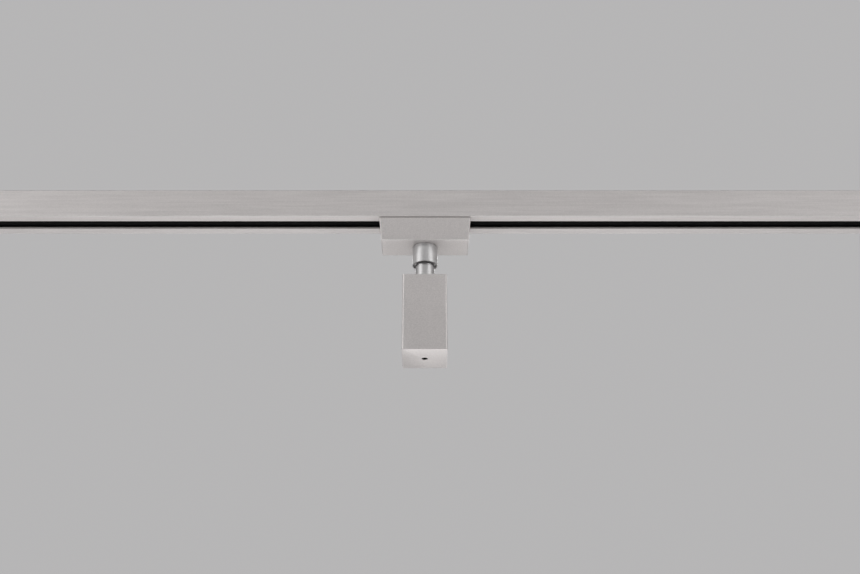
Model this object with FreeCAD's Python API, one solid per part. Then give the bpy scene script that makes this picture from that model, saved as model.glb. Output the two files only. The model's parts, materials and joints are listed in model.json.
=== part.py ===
import FreeCAD, Part
import math
import os

# A spotlight on a surface-mounted lighting track: the track, the adapter that locks into it,
# a swivelling and tilting stem, and a box-shaped lamp head that shines from its far face.
# Millimetres. The origin is the centre of the track's ceiling face, +X runs along the track,
# +Z points up into the ceiling, and the lamp head shines towards +Y.

V = FreeCAD.Vector
X, Y, Z = V(1, 0, 0), V(0, 1, 0), V(0, 0, 1)
CENTRE = V(0, 0, 0)

# ---- driving dimensions: the track ----
RAIL_L = 1000.0          # over the end caps
RAIL_W = 35.0
RAIL_H = 28.0
RAIL_WALL = 1.8
RAIL_CHAMFER = 0.5
SLOT_W = 14.5
CAP_T = 2.0              # end plates of the two end caps
CAP_PLUG_L = 8.0
LINER_Y = 8.2            # inner faces of the two insulating liners
LINER_BOTTOM = -22.4
LINER_FOOT_Y = 13.5
GROOVE_Z = (-9.0, -17.0)
GROOVE_HALF = 1.7
GROOVE_Y = 13.2          # bottom of each conductor groove
COPPER_T = 1.6
COPPER_HALF = 1.1
EARTH_Y = (3.0, 6.0)
EARTH_T = 1.2
CEILING_SCREW_X = 400.0
CEILING_SCREW_R = 2.25
FEED_X = -476.0          # cable inlet in the web
FEED_R = 5.0
FEED_BLOCK_X = (-489.8, -462.0)
FEED_BLOCK_Y = 7.9
FEED_POCKET_R = 6.0
FEED_POCKET_Z = -16.0
FEED_SCREW_X = (-484.0, -466.0)
FEED_SCREW_Y = 4.0
FEED_SCREW_HEAD_R = 1.9
FEED_SCREW_HEAD_L = 3.0  # depth of the pocket that takes the head
FEED_SCREW_R = 1.2
FEED_SCREW_L = 7.0
FEED_SUNK = 0.4          # block's underside above the track's underside
TERMINAL_HALF = (2.0, 0.8)

# ---- driving dimensions: the adapter ----
GAP = 0.5                # between the track and the adapter box
BOX_L_TOP = 85.3
BOX_L_BOTTOM = 80.9
BOX_D = 32.0
BOX_H = 24.0
BOX_WALL = 1.8
BOX_FLOOR = 2.0
BOX_ROUND = 0.9
COVER_T = 1.8
COVER_EDGE = 0.1         # fitting gap round the cover
BOSS_AT = (37.0, -11.0)
BOSS_R = 2.2
SCREW_R = 1.1            # the small screws, whose heads are twice as wide
DRIVER_SLOT_HALF = 0.3   # half width of a screw's driver slot
SEAT_T = 0.8             # depth of the seats of the cover's screw heads
COVER_SCREW_L = 6.0
BOSS_PILOT_L = 8.0
BOARD_RIB = 1.8
CARRIER_L = 72.0
CARRIER_Y = 6.6
CARRIER_TOP = -5.8
CARRIER_FLANGE_L = 76.0
CARRIER_FLANGE_Y = 8.5
CARRIER_FLANGE_T = 1.2
EARTH_SPRING_X = (-34.0, -11.0)
EARTH_SPRING_RISE = 1.7
EARTH_SPRING_T = 0.5
LEVER_X = 22.5           # the two lever axes, left and right of the swivel
LEVER_T = 2.0
LEVER_GAP = 0.3
LEVER_HUB_R = 6.0
LEVER_OUTLINE = ((0, -4), (13, 2), (21, 11), (21, 15.7), (11, 15.7), (9, 10), (-3, 5))
LEVER_RIBS_X = (12.5, 15.5, 18.5)
LEVER_RIB = (1.0, 15.2, 16.8)    # width, and where it starts and ends across the box
LEVER_DIMPLE = (2.0, 0.6)
LEVER_SWEEP = 17.2       # how far from its axis a lever needs its slot
SHAFT_R = 3.5
SHAFT_SQUARE = 5.0
SHAFT_CLEARANCE = 0.1
CAM_Z = (-26.0, -23.4)
CAM_REACH = 11.6
CAM_HALF = 3.2
CAM_HUB_R = 5.0
CAM_SWEEP_R = 12.4
CAM_SWEEP_GAP = 0.6
CAM_ROUND = 1.2
ROTOR_R = 5.0
FINGER_REACH = 11.2
FINGER_HALF_W = 1.5
FINGER_T = 1.0
FINGER_SWEEP_R = 11.6
FINGER_SWEEP_HALF = 1.2
FINGER_ROUND = 0.8
BOARD_L = 66.0
BOARD_D = 24.0
BOARD_T = 1.6
BOARD_TOP = -36.8
BOARD_HOLES_X = (-30.0, -5.0, 5.0, 30.0)
BOARD_HOLE_R = 1.2
# Parts under the board: ends and sides, then how far the bottom and the top are below it.
WINDING = (15.0, 29.0, -8.0, 5.0, 9.5, 0.0)
CORE = (17.0, 27.0, -9.5, 6.5, 7.5, 2.0)
FILM_CAN = (-29.0, -17.0, 2.0, 8.0, 8.0, 0.0)
CHOKE = (-14.5, -12.0, -2.0, 2.0, 3.5, 0.0)
ROUND_CAN = (3.9, 12.0, -29.0, -5.5)         # radius, length, left end, centre line
TERMINAL_BLOCK = (-38.0, -31.0, 6.0, 8.0)    # ends, half depth, height
TERMINAL_AT = (-34.5, 3.0)
TERMINAL_SCREW_R = 1.4
WIRE_R = 0.7
SELECTOR_X = (14.0, 22.0)
SELECTOR_TRAVEL = 4.0
SELECTOR_Z = (-45.0, -41.0)
SELECTOR_PROUD = 0.9
SELECTOR_PLATE_T = 1.4
BUTTON_INSET = (2.0, 1.0)    # of the button's ends and sides within its plate
SELECTOR_GROOVES = (2.9, 3.75, 4.6)
SELECTOR_GROOVE_W = 0.5
SELECTOR_PLAY = 0.3

# ---- driving dimensions: the swivel ----
SLEEVE_D = 23.3
SLEEVE_L = 19.2
SLEEVE_CHAMFER = 0.2
RECESS_R = 10.5          # counterbore in the sleeve's rim, round the neck ring
RECESS_L = 2.2
SPIGOT_R = 8.0
SPIGOT_L = 6.0
BUSH_R = 7.0
JOURNAL_R = 5.5
RUNNING = 0.05           # radial running clearance
NUT_FLATS = 19.0
NUT_T = 3.0
JOURNAL_TOP = -43.0
RETAINER_Z = (-45.4, -44.4)
WASHER_Z = (-46.3, -45.5)
WASHER_R = 8.0
RETAINER_SHOULDER = 1.8
RETAINER_GROOVE = 0.7
RETAINER_GAP_HALF = 3.0
STOP_TAB = (13.0, 0.4)   # reach and half width of the washer's stop tab
STOP_POST = (11.6, 13.6, 0.5)
NECK_GAP = 1.7
NECK_R = 8.6
NECK_CLEARANCE = 0.5     # between the ring and the top of the counterbore
STEM_R = 8.8
STEM_CHAMFER = 0.5
STEM_BORE_R = 2.5
LEAD_R = 1.5
STEM_TO_HEAD = 17.7      # from the stem's shoulder to the top of the lamp head

# ---- driving dimensions: the tilt joint ----
PIVOT_ABOVE_HEAD = 6.3
STEM_END_ABOVE_PIVOT = 0.5
EAR_R = 5.9
EAR_IN = 4.0
TONGUE_HALF = 3.7
TONGUE_R = 3.2
TONGUE_BORE_R = 1.3
POCKET = (4.05, 4.4, 3.6)    # half width, half depth, height above the pivot
PIVOT_R = 1.5
PIVOT_HEAD_R = 2.5
PIVOT_IN = 1.7
PIVOT_OUT = 8.3
PIVOT_HEAD_T = 1.2
FRICTION_T = 0.25

# ---- driving dimensions: the lamp head ----
HEAD_W = 40.0
HEAD_D = 46.0
HEAD_H = 72.6
HEAD_WALL = 1.6
HEAD_ROUND = 1.6
HEAD_EDGE = 0.4
HOLE_R = 2.85            # counterbore in the underside, for a socket screw
CAP_HEAD_R = 2.75
CAP_HEAD_SUNK = 0.25
CAP_SCREW_R = 1.5
CAP_SOCKET = (2.5, 1.5)  # across flats, depth
CAP_SEAT = 1.4           # how far the head reaches into the spreader's foot
KNUCKLE_FLANGE = (10.0, 8.0, 3.0)
KNUCKLE_SCREW_X = 7.2
KNUCKLE_HEAD_T = 1.2
GROMMET = (2.6, 1.4)     # radius, thickness
CUP_PITCH = 33.2
CUP_THROAT_R = 6.5
CUP_MOUTH_R = 15.3
CUP_WALL = 0.8
CUP_Y = (-5.2, 17.6)
LED_BOARD_Y = (-8.0, -6.4)
LED_BOARD_HALF_W = 11.0
LED_BOARD_ENDS = (12.0, 10.0)    # past the lower and the upper light source
LED_BOARD_ROUND = 1.5
LED_T = 0.9
LED_R = 5.4
SPREADER_T = 4.0
FIN_PITCH = 7.0
FIN_T = 1.5
FIN_START_Y = 6.0        # from the head's near face
SPREADER_FOOT_T = 3.6
SPREADER_FOOT_Y = 5.0
SPREADER_TOP_DROP = 8.0
PLATE_Y = (17.6, 19.0)
GLASS_Y = (19.4, 21.4)
BEZEL_Y = (21.4, 22.6)
GASKET_W = 1.6
BEZEL_W = 2.4
BEZEL_SCREW_R = 0.9
BEZEL_SCREW_INSET = 1.6
BEZEL_SCREW_Y = 21.8
BEZEL_SCREW_T = 0.7
FRONT_FIT = 0.15
LEAD_LANE_Y = -7.2       # where the lead comes down to the light sources' board

# ---- heights worked out from the sizes above ----
RAIL_BOTTOM = -RAIL_H
BOX_TOP = RAIL_BOTTOM - GAP
BOX_BOTTOM = BOX_TOP - BOX_H
FLOOR_TOP = BOX_BOTTOM + BOX_FLOOR
COVER_BOTTOM = BOX_TOP - COVER_T
FLANGE_BOTTOM = COVER_BOTTOM - CARRIER_FLANGE_T
LEVER_TOP = FLANGE_BOTTOM - LEVER_GAP
LEVER_BOTTOM = LEVER_TOP - LEVER_T
SLEEVE_BOTTOM = BOX_BOTTOM - SLEEVE_L
SPIGOT_TOP = BOX_BOTTOM + SPIGOT_L
SHOULDER = SLEEVE_BOTTOM - NECK_GAP
HEAD_TOP = SHOULDER - STEM_TO_HEAD
HEAD_BOTTOM = HEAD_TOP - HEAD_H
PIVOT_Z = HEAD_TOP + PIVOT_ABOVE_HEAD
STEM_END = PIVOT_Z + STEM_END_ABOVE_PIVOT
ROOF = HEAD_TOP - HEAD_WALL
FLOOR = HEAD_BOTTOM + HEAD_WALL
FEED_FLOOR = RAIL_BOTTOM + FEED_SUNK
TERMINAL_TOP = FLOOR_TOP + TERMINAL_BLOCK[3]
RECESS_TOP = SLEEVE_BOTTOM + RECESS_L
GROMMET_TOP = ROOF - KNUCKLE_FLANGE[2]
GROMMET_BOTTOM = GROMMET_TOP - GROMMET[1]
HEAD_MIDDLE = (HEAD_TOP + HEAD_BOTTOM) / 2
PROFILE_X = RAIL_L / 2 - CAP_T


def block(x0, x1, y0, y1, z0, z1):
    """A box between two corners."""
    return Part.makeBox(x1 - x0, y1 - y0, z1 - z0, V(x0, y0, z0))


def rod(radius, start, length, axis=Z):
    """A cylinder from a point along an axis."""
    return Part.makeCylinder(radius, length, start, axis)


def upright(radius, z0, z1, x=0.0, y=0.0):
    """A vertical cylinder between two heights."""
    return rod(radius, V(x, y, z0), z1 - z0)


def along_x(outline, x0, x1):
    """Extrude an outline of (y, z) points along the track."""
    points = [V(x0, y, z) for y, z in outline]
    return Part.Face(Part.makePolygon(points + points[:1])).extrude(V(x1 - x0, 0, 0))


def along_z(outline, z0, z1):
    """Extrude an outline of (x, y) points upwards."""
    points = [V(x, y, z0) for x, y in outline]
    return Part.Face(Part.makePolygon(points + points[:1])).extrude(V(0, 0, z1 - z0))


def turned(outline, centre=CENTRE, axis=Y):
    """Spin an outline of (distance along axis, radius) points about an axis."""
    side = X if axis == Y or axis == Z else Z
    points = [centre + axis * along + side * radius for along, radius in outline]
    return Part.Face(Part.makePolygon(points + points[:1])).revolve(centre, axis, 360)


def mirrored_x(shape):
    """The same shape at the other end of the track."""
    return shape.mirror(CENTRE, X)


def mirrored_y(shape):
    """The same shape on the other side of the track."""
    return shape.mirror(CENTRE, Y)


def driver_slot(x, y, reach, z0, z1):
    """The slot across an upright screw's head, along the track."""
    return block(x - reach, x + reach, y - DRIVER_SLOT_HALF, y + DRIVER_SLOT_HALF, z0, z1)


def edges_along(shape, direction):
    """The straight edges of a shape that run along a direction."""
    found = []
    for edge in shape.Edges:
        if edge.Curve.TypeId != "Part::GeomLine":
            continue
        if edge.tangentAt(edge.FirstParameter).cross(direction).Length < 1e-6:
            found.append(edge)
    return found


def tube_path(points, radius, bend):
    """A round wire along straight runs joined by tangent arcs."""
    pieces, start = [], points[0]
    for before, corner, after in zip(points, points[1:], points[2:]):
        back = (before - corner).normalize()
        ahead = (after - corner).normalize()
        half_turn = (math.pi - back.getAngle(ahead)) / 2
        cut = bend * math.tan(half_turn)
        enter, leave = corner + back * cut, corner + ahead * cut
        inside = (back + ahead).normalize()
        middle = corner + inside * (bend / math.cos(half_turn) - bend)
        pieces.append(Part.LineSegment(start, enter).toShape())
        pieces.append(Part.Arc(enter, middle, leave).toShape())
        start = leave
    pieces.append(Part.LineSegment(start, points[-1]).toShape())
    wire = Part.Wire(pieces)
    ring = Part.Wire(Part.makeCircle(radius, points[0], points[1] - points[0]))
    return wire.makePipeShell([ring], True, True)


# ---------------------------------------------------------------- the track

def rail_profile():
    """Extruded aluminium channel with a slot along its underside."""
    w, wall, lip = RAIL_W / 2, RAIL_WALL, SLOT_W / 2
    outline = [(-w, 0), (w, 0), (w, RAIL_BOTTOM), (lip, RAIL_BOTTOM), (lip, RAIL_BOTTOM + wall),
               (w - wall, RAIL_BOTTOM + wall), (w - wall, -wall), (wall - w, -wall),
               (wall - w, RAIL_BOTTOM + wall), (-lip, RAIL_BOTTOM + wall), (-lip, RAIL_BOTTOM),
               (-w, RAIL_BOTTOM)]
    body = along_x(outline, -PROFILE_X, PROFILE_X)
    corners = [e for e in edges_along(body, X) if abs(abs(e.CenterOfMass.y) - w) < 1e-6]
    body = body.makeChamfer(RAIL_CHAMFER, corners)
    holes = [upright(CEILING_SCREW_R, -2 * wall, wall, side * CEILING_SCREW_X) for side in (-1, 1)]
    holes.append(upright(FEED_R, -2 * wall, wall, FEED_X))
    return body.cut(holes)


def liner(side):
    """Black insulating strip with two grooves that hold the copper conductors."""
    outer, floor = RAIL_W / 2 - RAIL_WALL, RAIL_BOTTOM + RAIL_WALL
    outline = [(outer, -RAIL_WALL), (LINER_Y, -RAIL_WALL)]
    for z in GROOVE_Z:
        outline += [(LINER_Y, z + GROOVE_HALF), (GROOVE_Y, z + GROOVE_HALF),
                    (GROOVE_Y, z - GROOVE_HALF), (LINER_Y, z - GROOVE_HALF)]
    outline += [(LINER_Y, LINER_BOTTOM), (LINER_FOOT_Y, LINER_BOTTOM), (LINER_FOOT_Y, floor),
                (outer, floor)]
    strip = along_x(outline, -PROFILE_X, PROFILE_X)
    return strip if side > 0 else mirrored_y(strip)


def conductor(side, z):
    """Flat copper strip in the bottom of a groove."""
    y = sorted((side * GROOVE_Y, side * (GROOVE_Y - COPPER_T)))
    return block(-PROFILE_X, PROFILE_X, y[0], y[1], z - COPPER_HALF, z + COPPER_HALF)


def earth_strip():
    """Bare copper strip under the web."""
    end = FEED_BLOCK_X[1] + 1
    return block(end, PROFILE_X - CAP_PLUG_L, EARTH_Y[0], EARTH_Y[1], -RAIL_WALL - EARTH_T, -RAIL_WALL)


def end_cap():
    """Moulded end plate with a plug that fits between the liners."""
    w = RAIL_W / 2
    plate = block(PROFILE_X, PROFILE_X + CAP_T, -w, w, RAIL_BOTTOM, 0)
    rim = [e for e in plate.Edges if abs(e.CenterOfMass.x - PROFILE_X - CAP_T) < 1e-6]
    plate = plate.makeFillet(RAIL_CHAMFER, rim)
    inner = LINER_Y - COVER_EDGE
    plug = block(PROFILE_X - CAP_PLUG_L, PROFILE_X, -inner, inner, LINER_BOTTOM, -RAIL_WALL)
    neck = SLOT_W / 2 - COVER_EDGE
    stub = block(PROFILE_X - CAP_PLUG_L, PROFILE_X, -neck, neck, RAIL_BOTTOM, LINER_BOTTOM)
    bore = rod(SCREW_R, V(PROFILE_X - CAP_PLUG_L, 0, GROOVE_Z[1]), CAP_PLUG_L + CAP_T, X)
    seat = rod(2 * SCREW_R, V(PROFILE_X + CAP_T / 2, 0, GROOVE_Z[1]), CAP_T, X)
    return plate.fuse([plug, stub]).removeSplitter().cut([bore, seat])


def cap_screws():
    """One sunk screw in each end cap."""
    x = PROFILE_X + CAP_T / 2
    z = GROOVE_Z[1]
    shank = rod(SCREW_R, V(x - CAP_PLUG_L, 0, z), CAP_PLUG_L, X)
    head = rod(2 * SCREW_R, V(x, 0, z), 0.4 * CAP_T, X)
    slot = block(x + 0.2 * CAP_T, x + CAP_T, -DRIVER_SLOT_HALF, DRIVER_SLOT_HALF, z - CAP_T, z + CAP_T)
    screw = shank.fuse(head).removeSplitter().cut(slot)
    return Part.Compound([screw, mirrored_x(screw)])


def feed_block():
    """Live end: an insulating block that takes the supply cable from above."""
    x0, x1 = FEED_BLOCK_X
    body = block(x0, x1, -FEED_BLOCK_Y, FEED_BLOCK_Y, LINER_BOTTOM, -RAIL_WALL)
    neck = SLOT_W / 2 - COVER_EDGE
    body = body.fuse(block(x0, x1, -neck, neck, FEED_FLOOR, LINER_BOTTOM)).removeSplitter()
    pockets = [feed_screw_space(x, side * FEED_SCREW_Y, 0) for x in FEED_SCREW_X for side in (-1, 1)]
    return body.cut(pockets + [upright(FEED_POCKET_R, FEED_POCKET_Z, 0, FEED_X)])


def feed_screw_space(x, y, sunk):
    """A terminal screw's head and shank, or the stepped hole that they stand in."""
    neck = FEED_FLOOR + FEED_SCREW_HEAD_L
    head = upright(FEED_SCREW_HEAD_R, FEED_FLOOR + sunk, neck, x, y)
    return head.fuse(upright(FEED_SCREW_R, neck, FEED_FLOOR + FEED_SCREW_L, x, y)).removeSplitter()


def feed_terminals():
    """Brass tabs that join the feed block to the four conductors."""
    tabs = []
    for x, z in zip(FEED_SCREW_X, GROOVE_Z):
        for side in (-1, 1):
            y = sorted((side * FEED_BLOCK_Y, side * (GROOVE_Y - COPPER_T)))
            w, h = TERMINAL_HALF
            tabs.append(block(x - w, x + w, y[0], y[1], z - h, z + h))
    return Part.Compound(tabs)


def feed_screws():
    """Slotted terminal screws in the underside of the feed block."""
    screws = []
    for x in FEED_SCREW_X:
        for y in (-FEED_SCREW_Y, FEED_SCREW_Y):
            slot = driver_slot(x, y, 2 * FEED_SCREW_R, FEED_FLOOR, FEED_FLOOR + FEED_SCREW_HEAD_L / 2)
            screws.append(feed_screw_space(x, y, SEAT_T).cut(slot))
    return Part.Compound(screws)


# ---------------------------------------------------------------- the adapter

def box_half(z):
    """Half the length of the adapter box at a height."""
    share = (BOX_TOP - z) / BOX_H
    return (BOX_L_TOP + (BOX_L_BOTTOM - BOX_L_TOP) * share) / 2


def tapered(z_top, z_bottom, inset, half_depth):
    """A block with the slope of the adapter's ends."""
    top, low = box_half(z_top) - inset, box_half(z_bottom) - inset
    points = [V(-top, -half_depth, z_top), V(top, -half_depth, z_top),
              V(low, -half_depth, z_bottom), V(-low, -half_depth, z_bottom)]
    return Part.Face(Part.makePolygon(points + points[:1])).extrude(V(0, 2 * half_depth, 0))


def adapter_housing():
    """Box shell, open at the top, with its stop post, bosses and slots for the levers."""
    half = BOX_D / 2
    inner = half - BOX_WALL
    outer = tapered(BOX_TOP, BOX_BOTTOM, 0, half)
    rounded = [e for e in outer.Edges if e.CenterOfMass.z < BOX_TOP - BOX_ROUND]
    shell = outer.makeFillet(BOX_ROUND, rounded)
    shell = shell.cut(tapered(BOX_TOP, FLOOR_TOP, BOX_WALL, inner))
    r0, r1, w = STOP_POST
    added = [block(-w, w, -r1, -r0, FLOOR_TOP, WASHER_Z[1])]
    for side in (-1, 1):
        added.append(upright(BOSS_R, FLOOR_TOP, COVER_BOTTOM, side * BOSS_AT[0], BOSS_AT[1]))
        x0, x1 = sorted((side * NUT_FLATS * 0.7, side * (BOARD_L / 2 - 1)))
        added.append(block(x0, x1, -inner, BOARD_RIB - inner, FLOOR_TOP, BOARD_TOP - BOARD_T))
        added.append(block(x0, x1, inner - BOARD_RIB, inner, FLOOR_TOP, SELECTOR_Z[0] - 1))
    shell = shell.fuse(added).removeSplitter()
    sweep = LEVER_X + LEVER_SWEEP
    lever_slot = block(-sweep, sweep, inner - 1, half + 1, LEVER_BOTTOM - LEVER_GAP, FLANGE_BOTTOM)
    x0, x1 = SELECTOR_X[0] + BUTTON_INSET[0], SELECTOR_X[1] + SELECTOR_TRAVEL - BUTTON_INSET[0]
    z0, z1 = SELECTOR_Z[0] + BUTTON_INSET[1], SELECTOR_Z[1] - BUTTON_INSET[1]
    play = SELECTOR_PLAY
    button_slot = block(x0 - play, x1 + play, inner - 1, half + 1, z0 - play, z1 + play)
    spigot_hole = upright(SPIGOT_R, BOX_BOTTOM - 1, FLOOR_TOP + 1)
    pilots = [upright(SCREW_R, COVER_BOTTOM - BOSS_PILOT_L, COVER_BOTTOM, side * BOSS_AT[0], BOSS_AT[1])
              for side in (-1, 1)]
    return shell.cut([lever_slot, button_slot, spigot_hole] + pilots)


def adapter_cover():
    """Flat plate that closes the box, with a window for the contact carrier."""
    depth = BOX_D / 2 - BOX_WALL - COVER_EDGE
    plate = tapered(BOX_TOP, COVER_BOTTOM, BOX_WALL + COVER_EDGE, depth)
    window = block(-CARRIER_L / 2, CARRIER_L / 2, -CARRIER_Y, CARRIER_Y, COVER_BOTTOM, BOX_TOP)
    holes = []
    for side in (-1, 1):
        x, y = side * BOSS_AT[0], BOSS_AT[1]
        holes.append(upright(SCREW_R, COVER_BOTTOM, BOX_TOP, x, y))
        holes.append(upright(2 * SCREW_R, BOX_TOP - SEAT_T, BOX_TOP, x, y))
    return plate.cut([window] + holes)


def cover_screws():
    """Two screws that pull the cover down on its bosses."""
    screws = []
    for side in (-1, 1):
        x, y = side * BOSS_AT[0], BOSS_AT[1]
        shank = upright(SCREW_R, COVER_BOTTOM - COVER_SCREW_L, BOX_TOP - SEAT_T, x, y)
        head = upright(2 * SCREW_R, BOX_TOP - SEAT_T, BOX_TOP - COVER_EDGE, x, y)
        slot = driver_slot(x, y, BOSS_R, BOX_TOP - SEAT_T / 2, BOX_TOP)
        screws.append(shank.fuse(head).removeSplitter().cut(slot))
    return Part.Compound(screws)


def contact_carrier():
    """Insulating body that stands up through the slot and holds the two rotors."""
    half, depth = CARRIER_L / 2, CARRIER_Y
    body = block(-half, half, -depth, depth, COVER_BOTTOM, CARRIER_TOP)
    half, depth = CARRIER_FLANGE_L / 2, CARRIER_FLANGE_Y
    body = body.fuse(block(-half, half, -depth, depth, FLANGE_BOTTOM, COVER_BOTTOM)).removeSplitter()
    cuts = []
    for side in (-1, 1):
        x = side * LEVER_X
        cuts.append(upright(SHAFT_R + SHAFT_CLEARANCE, FLANGE_BOTTOM, CAM_Z[0], x))
        cuts.append(upright(CAM_SWEEP_R, CAM_Z[0] - CAM_SWEEP_GAP, CAM_Z[1] + CAM_SWEEP_GAP, x))
    cuts.append(upright(ROTOR_R + SHAFT_CLEARANCE, CAM_Z[1], CARRIER_TOP, LEVER_X))
    for z in GROOVE_Z:
        cuts.append(upright(FINGER_SWEEP_R, z - FINGER_SWEEP_HALF, z + FINGER_SWEEP_HALF, LEVER_X))
    return body.cut(cuts)


def earth_contact():
    """Sprung tongue on the carrier that touches the earth strip."""
    x0, x1 = EARTH_SPRING_X
    foot, ramp = (x1 - x0) * 0.13, (x1 - x0) * 0.39
    under = [(x0, 0), (x0 + foot, 0), (x0 + ramp, EARTH_SPRING_RISE), (x1 - ramp, EARTH_SPRING_RISE),
             (x1 - foot, 0), (x1, 0)]
    outline = under + [(x, z + EARTH_SPRING_T) for x, z in reversed(under)]
    points = [V(x, EARTH_Y[0], CARRIER_TOP + z) for x, z in outline]
    return Part.Face(Part.makePolygon(points + points[:1])).extrude(V(0, EARTH_Y[1] - EARTH_Y[0], 0))


def lever(side):
    """Flat finger lever with a shaft that stands up through the carrier."""
    arm = along_z(LEVER_OUTLINE, LEVER_BOTTOM, LEVER_TOP)
    w, y0, y1 = LEVER_RIB
    ribs = [block(x, x + w, y0, y1, LEVER_BOTTOM, LEVER_TOP) for x in LEVER_RIBS_X]
    hub = upright(LEVER_HUB_R, LEVER_BOTTOM, LEVER_TOP)
    shaft = upright(SHAFT_R, LEVER_TOP, CAM_Z[0])
    half = SHAFT_SQUARE / 2
    square = block(-half, half, -half, half, CAM_Z[0], CAM_Z[1])
    whole = arm.fuse([hub, shaft, square] + ribs).removeSplitter()
    whole = whole.cut(upright(LEVER_DIMPLE[0], LEVER_BOTTOM, LEVER_BOTTOM + LEVER_DIMPLE[1]))
    if side > 0:
        whole = mirrored_x(whole)
    return whole.translated(V(side * LEVER_X, 0, 0))


def lock_cam(side):
    """Steel key that reaches over the track's lips when the lever is closed."""
    bar = block(-CAM_HALF, CAM_HALF, -CAM_REACH, CAM_REACH, CAM_Z[0], CAM_Z[1])
    bar = bar.makeFillet(CAM_ROUND, edges_along(bar, Z))
    bar = bar.fuse(upright(CAM_HUB_R, CAM_Z[0], CAM_Z[1])).removeSplitter()
    half = SHAFT_SQUARE / 2
    bar = bar.cut(block(-half, half, -half, half, CAM_Z[0], CAM_Z[1]))
    return bar.translated(V(side * LEVER_X, 0, 0))


def contact_rotor():
    """Insulating drum above the right cam, which swings the contacts out."""
    body = upright(ROTOR_R, CAM_Z[1], CARRIER_TOP - 2 * SHAFT_CLEARANCE, LEVER_X)
    x0, x1 = LEVER_X - FINGER_HALF_W, LEVER_X + FINGER_HALF_W
    half = FINGER_T / 2
    return body.cut([block(x0, x1, -ROTOR_R, ROTOR_R, z - half, z + half) for z in GROOVE_Z])


def rotor_contacts():
    """Two copper cross-pieces whose ends meet the conductors."""
    half, w = FINGER_T / 2, FINGER_HALF_W
    bars = []
    for z in GROOVE_Z:
        bar = block(LEVER_X - w, LEVER_X + w, -FINGER_REACH, FINGER_REACH, z - half, z + half)
        bars.append(bar.makeFillet(FINGER_ROUND, edges_along(bar, Z)))
    return Part.Compound(bars)


def driver_board():
    """Circuit board of the built-in supply."""
    half, depth = BOARD_L / 2, BOARD_D / 2
    board = block(-half, half, -depth, depth, BOARD_TOP - BOARD_T, BOARD_TOP)
    return board.cut([upright(BOARD_HOLE_R, BOARD_TOP - BOARD_T, BOARD_TOP, x) for x in BOARD_HOLES_X])


def driver_components():
    """Transformer with its core, two capacitors and a small choke, under the board."""
    top = BOARD_TOP - BOARD_T
    winding, core, film, choke = [block(x0, x1, y0, y1, top - low, top - high)
                                  for x0, x1, y0, y1, low, high in (WINDING, CORE, FILM_CAN, CHOKE)]
    radius, length, x, y = ROUND_CAN
    can = rod(radius, V(x, y, top - radius), length, X)
    return Part.Compound([winding.fuse(core).removeSplitter(), can, film, choke])


def terminal_block():
    """Insulating block where the lamp's lead meets the supply."""
    x0, x1, depth, height = TERMINAL_BLOCK
    body = block(x0, x1, -depth, depth, FLOOR_TOP, TERMINAL_TOP)
    body = body.common(tapered(BOX_TOP, FLOOR_TOP, BOX_WALL, BOX_D))
    x, y = TERMINAL_AT
    return body.cut([upright(TERMINAL_SCREW_R, TERMINAL_TOP - height / 2, TERMINAL_TOP, x, side * y)
                     for side in (-1, 1)])


def terminal_screws():
    """Two slotted brass screws in the terminal block."""
    x, spread = TERMINAL_AT
    low = TERMINAL_TOP - TERMINAL_BLOCK[3] / 2
    screws = []
    for y in (-spread, spread):
        screw = upright(TERMINAL_SCREW_R, low, TERMINAL_TOP - SEAT_T, x, y)
        slot = driver_slot(x, y, 2 * SCREW_R, TERMINAL_TOP - 2 * SEAT_T, TERMINAL_TOP)
        screws.append(screw.cut(slot))
    return Part.Compound(screws)


def adapter_wires():
    """Two insulated wires from the terminal block to the top of the stem."""
    wires = []
    start, low, high = TERMINAL_BLOCK[1], FLOOR_TOP + 2.2, JOURNAL_TOP + 1.6
    for side in (-1, 1):
        y = side * TERMINAL_AT[1]
        path = [V(start, y, low), V(start + 5, y, low), V(-15.5, y * 2.6, low + 0.6),
                V(-12.5, y * 1.8, high), V(-2.4, y * 0.3, high)]
        wires.append(tube_path(path, WIRE_R, 3 * WIRE_R))
    return Part.Compound(wires)


def circuit_selector():
    """Slide switch button in the far side of the box."""
    face = BOX_D / 2
    x0, x1 = SELECTOR_X
    z0, z1 = SELECTOR_Z
    inner, outer = face - BOX_WALL - LEVER_GAP, face + SELECTOR_PROUD
    end, edge = BUTTON_INSET
    plate = block(x0, x1, inner - SELECTOR_PLATE_T, inner, z0, z1)
    button = block(x0 + end, x1 - end, inner, outer, z0 + edge, z1 - edge)
    whole = plate.fuse(button).removeSplitter()
    deep = outer - 0.8 * SELECTOR_GROOVE_W
    return whole.cut([block(x0 + x, x0 + x + SELECTOR_GROOVE_W, deep, outer + 1, z0, z1)
                      for x in SELECTOR_GROOVES])


# ---------------------------------------------------------------- the swivel

def swivel_sleeve():
    """Turned aluminium sleeve with a threaded spigot that passes through the box floor."""
    r, c = SLEEVE_D / 2, SLEEVE_CHAMFER
    outline = [(RECESS_TOP, BUSH_R), (RECESS_TOP, RECESS_R), (SLEEVE_BOTTOM, RECESS_R),
               (SLEEVE_BOTTOM, r - c), (SLEEVE_BOTTOM + c, r), (BOX_BOTTOM, r), (BOX_BOTTOM, SPIGOT_R),
               (SPIGOT_TOP, SPIGOT_R), (SPIGOT_TOP, BUSH_R)]
    return turned(outline, axis=Z)


def hexagon(flats, z0, z1):
    """A hexagonal prism about the swivel axis."""
    r = flats / math.sqrt(3)
    turn = math.pi / 3
    return along_z([(r * math.cos(turn * k), r * math.sin(turn * k)) for k in range(6)], z0, z1)


def sleeve_nut():
    """Thin hexagonal nut that clamps the sleeve from inside the box."""
    top = FLOOR_TOP + NUT_T
    return hexagon(NUT_FLATS, FLOOR_TOP, top).cut(upright(SPIGOT_R, FLOOR_TOP, top))


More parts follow.
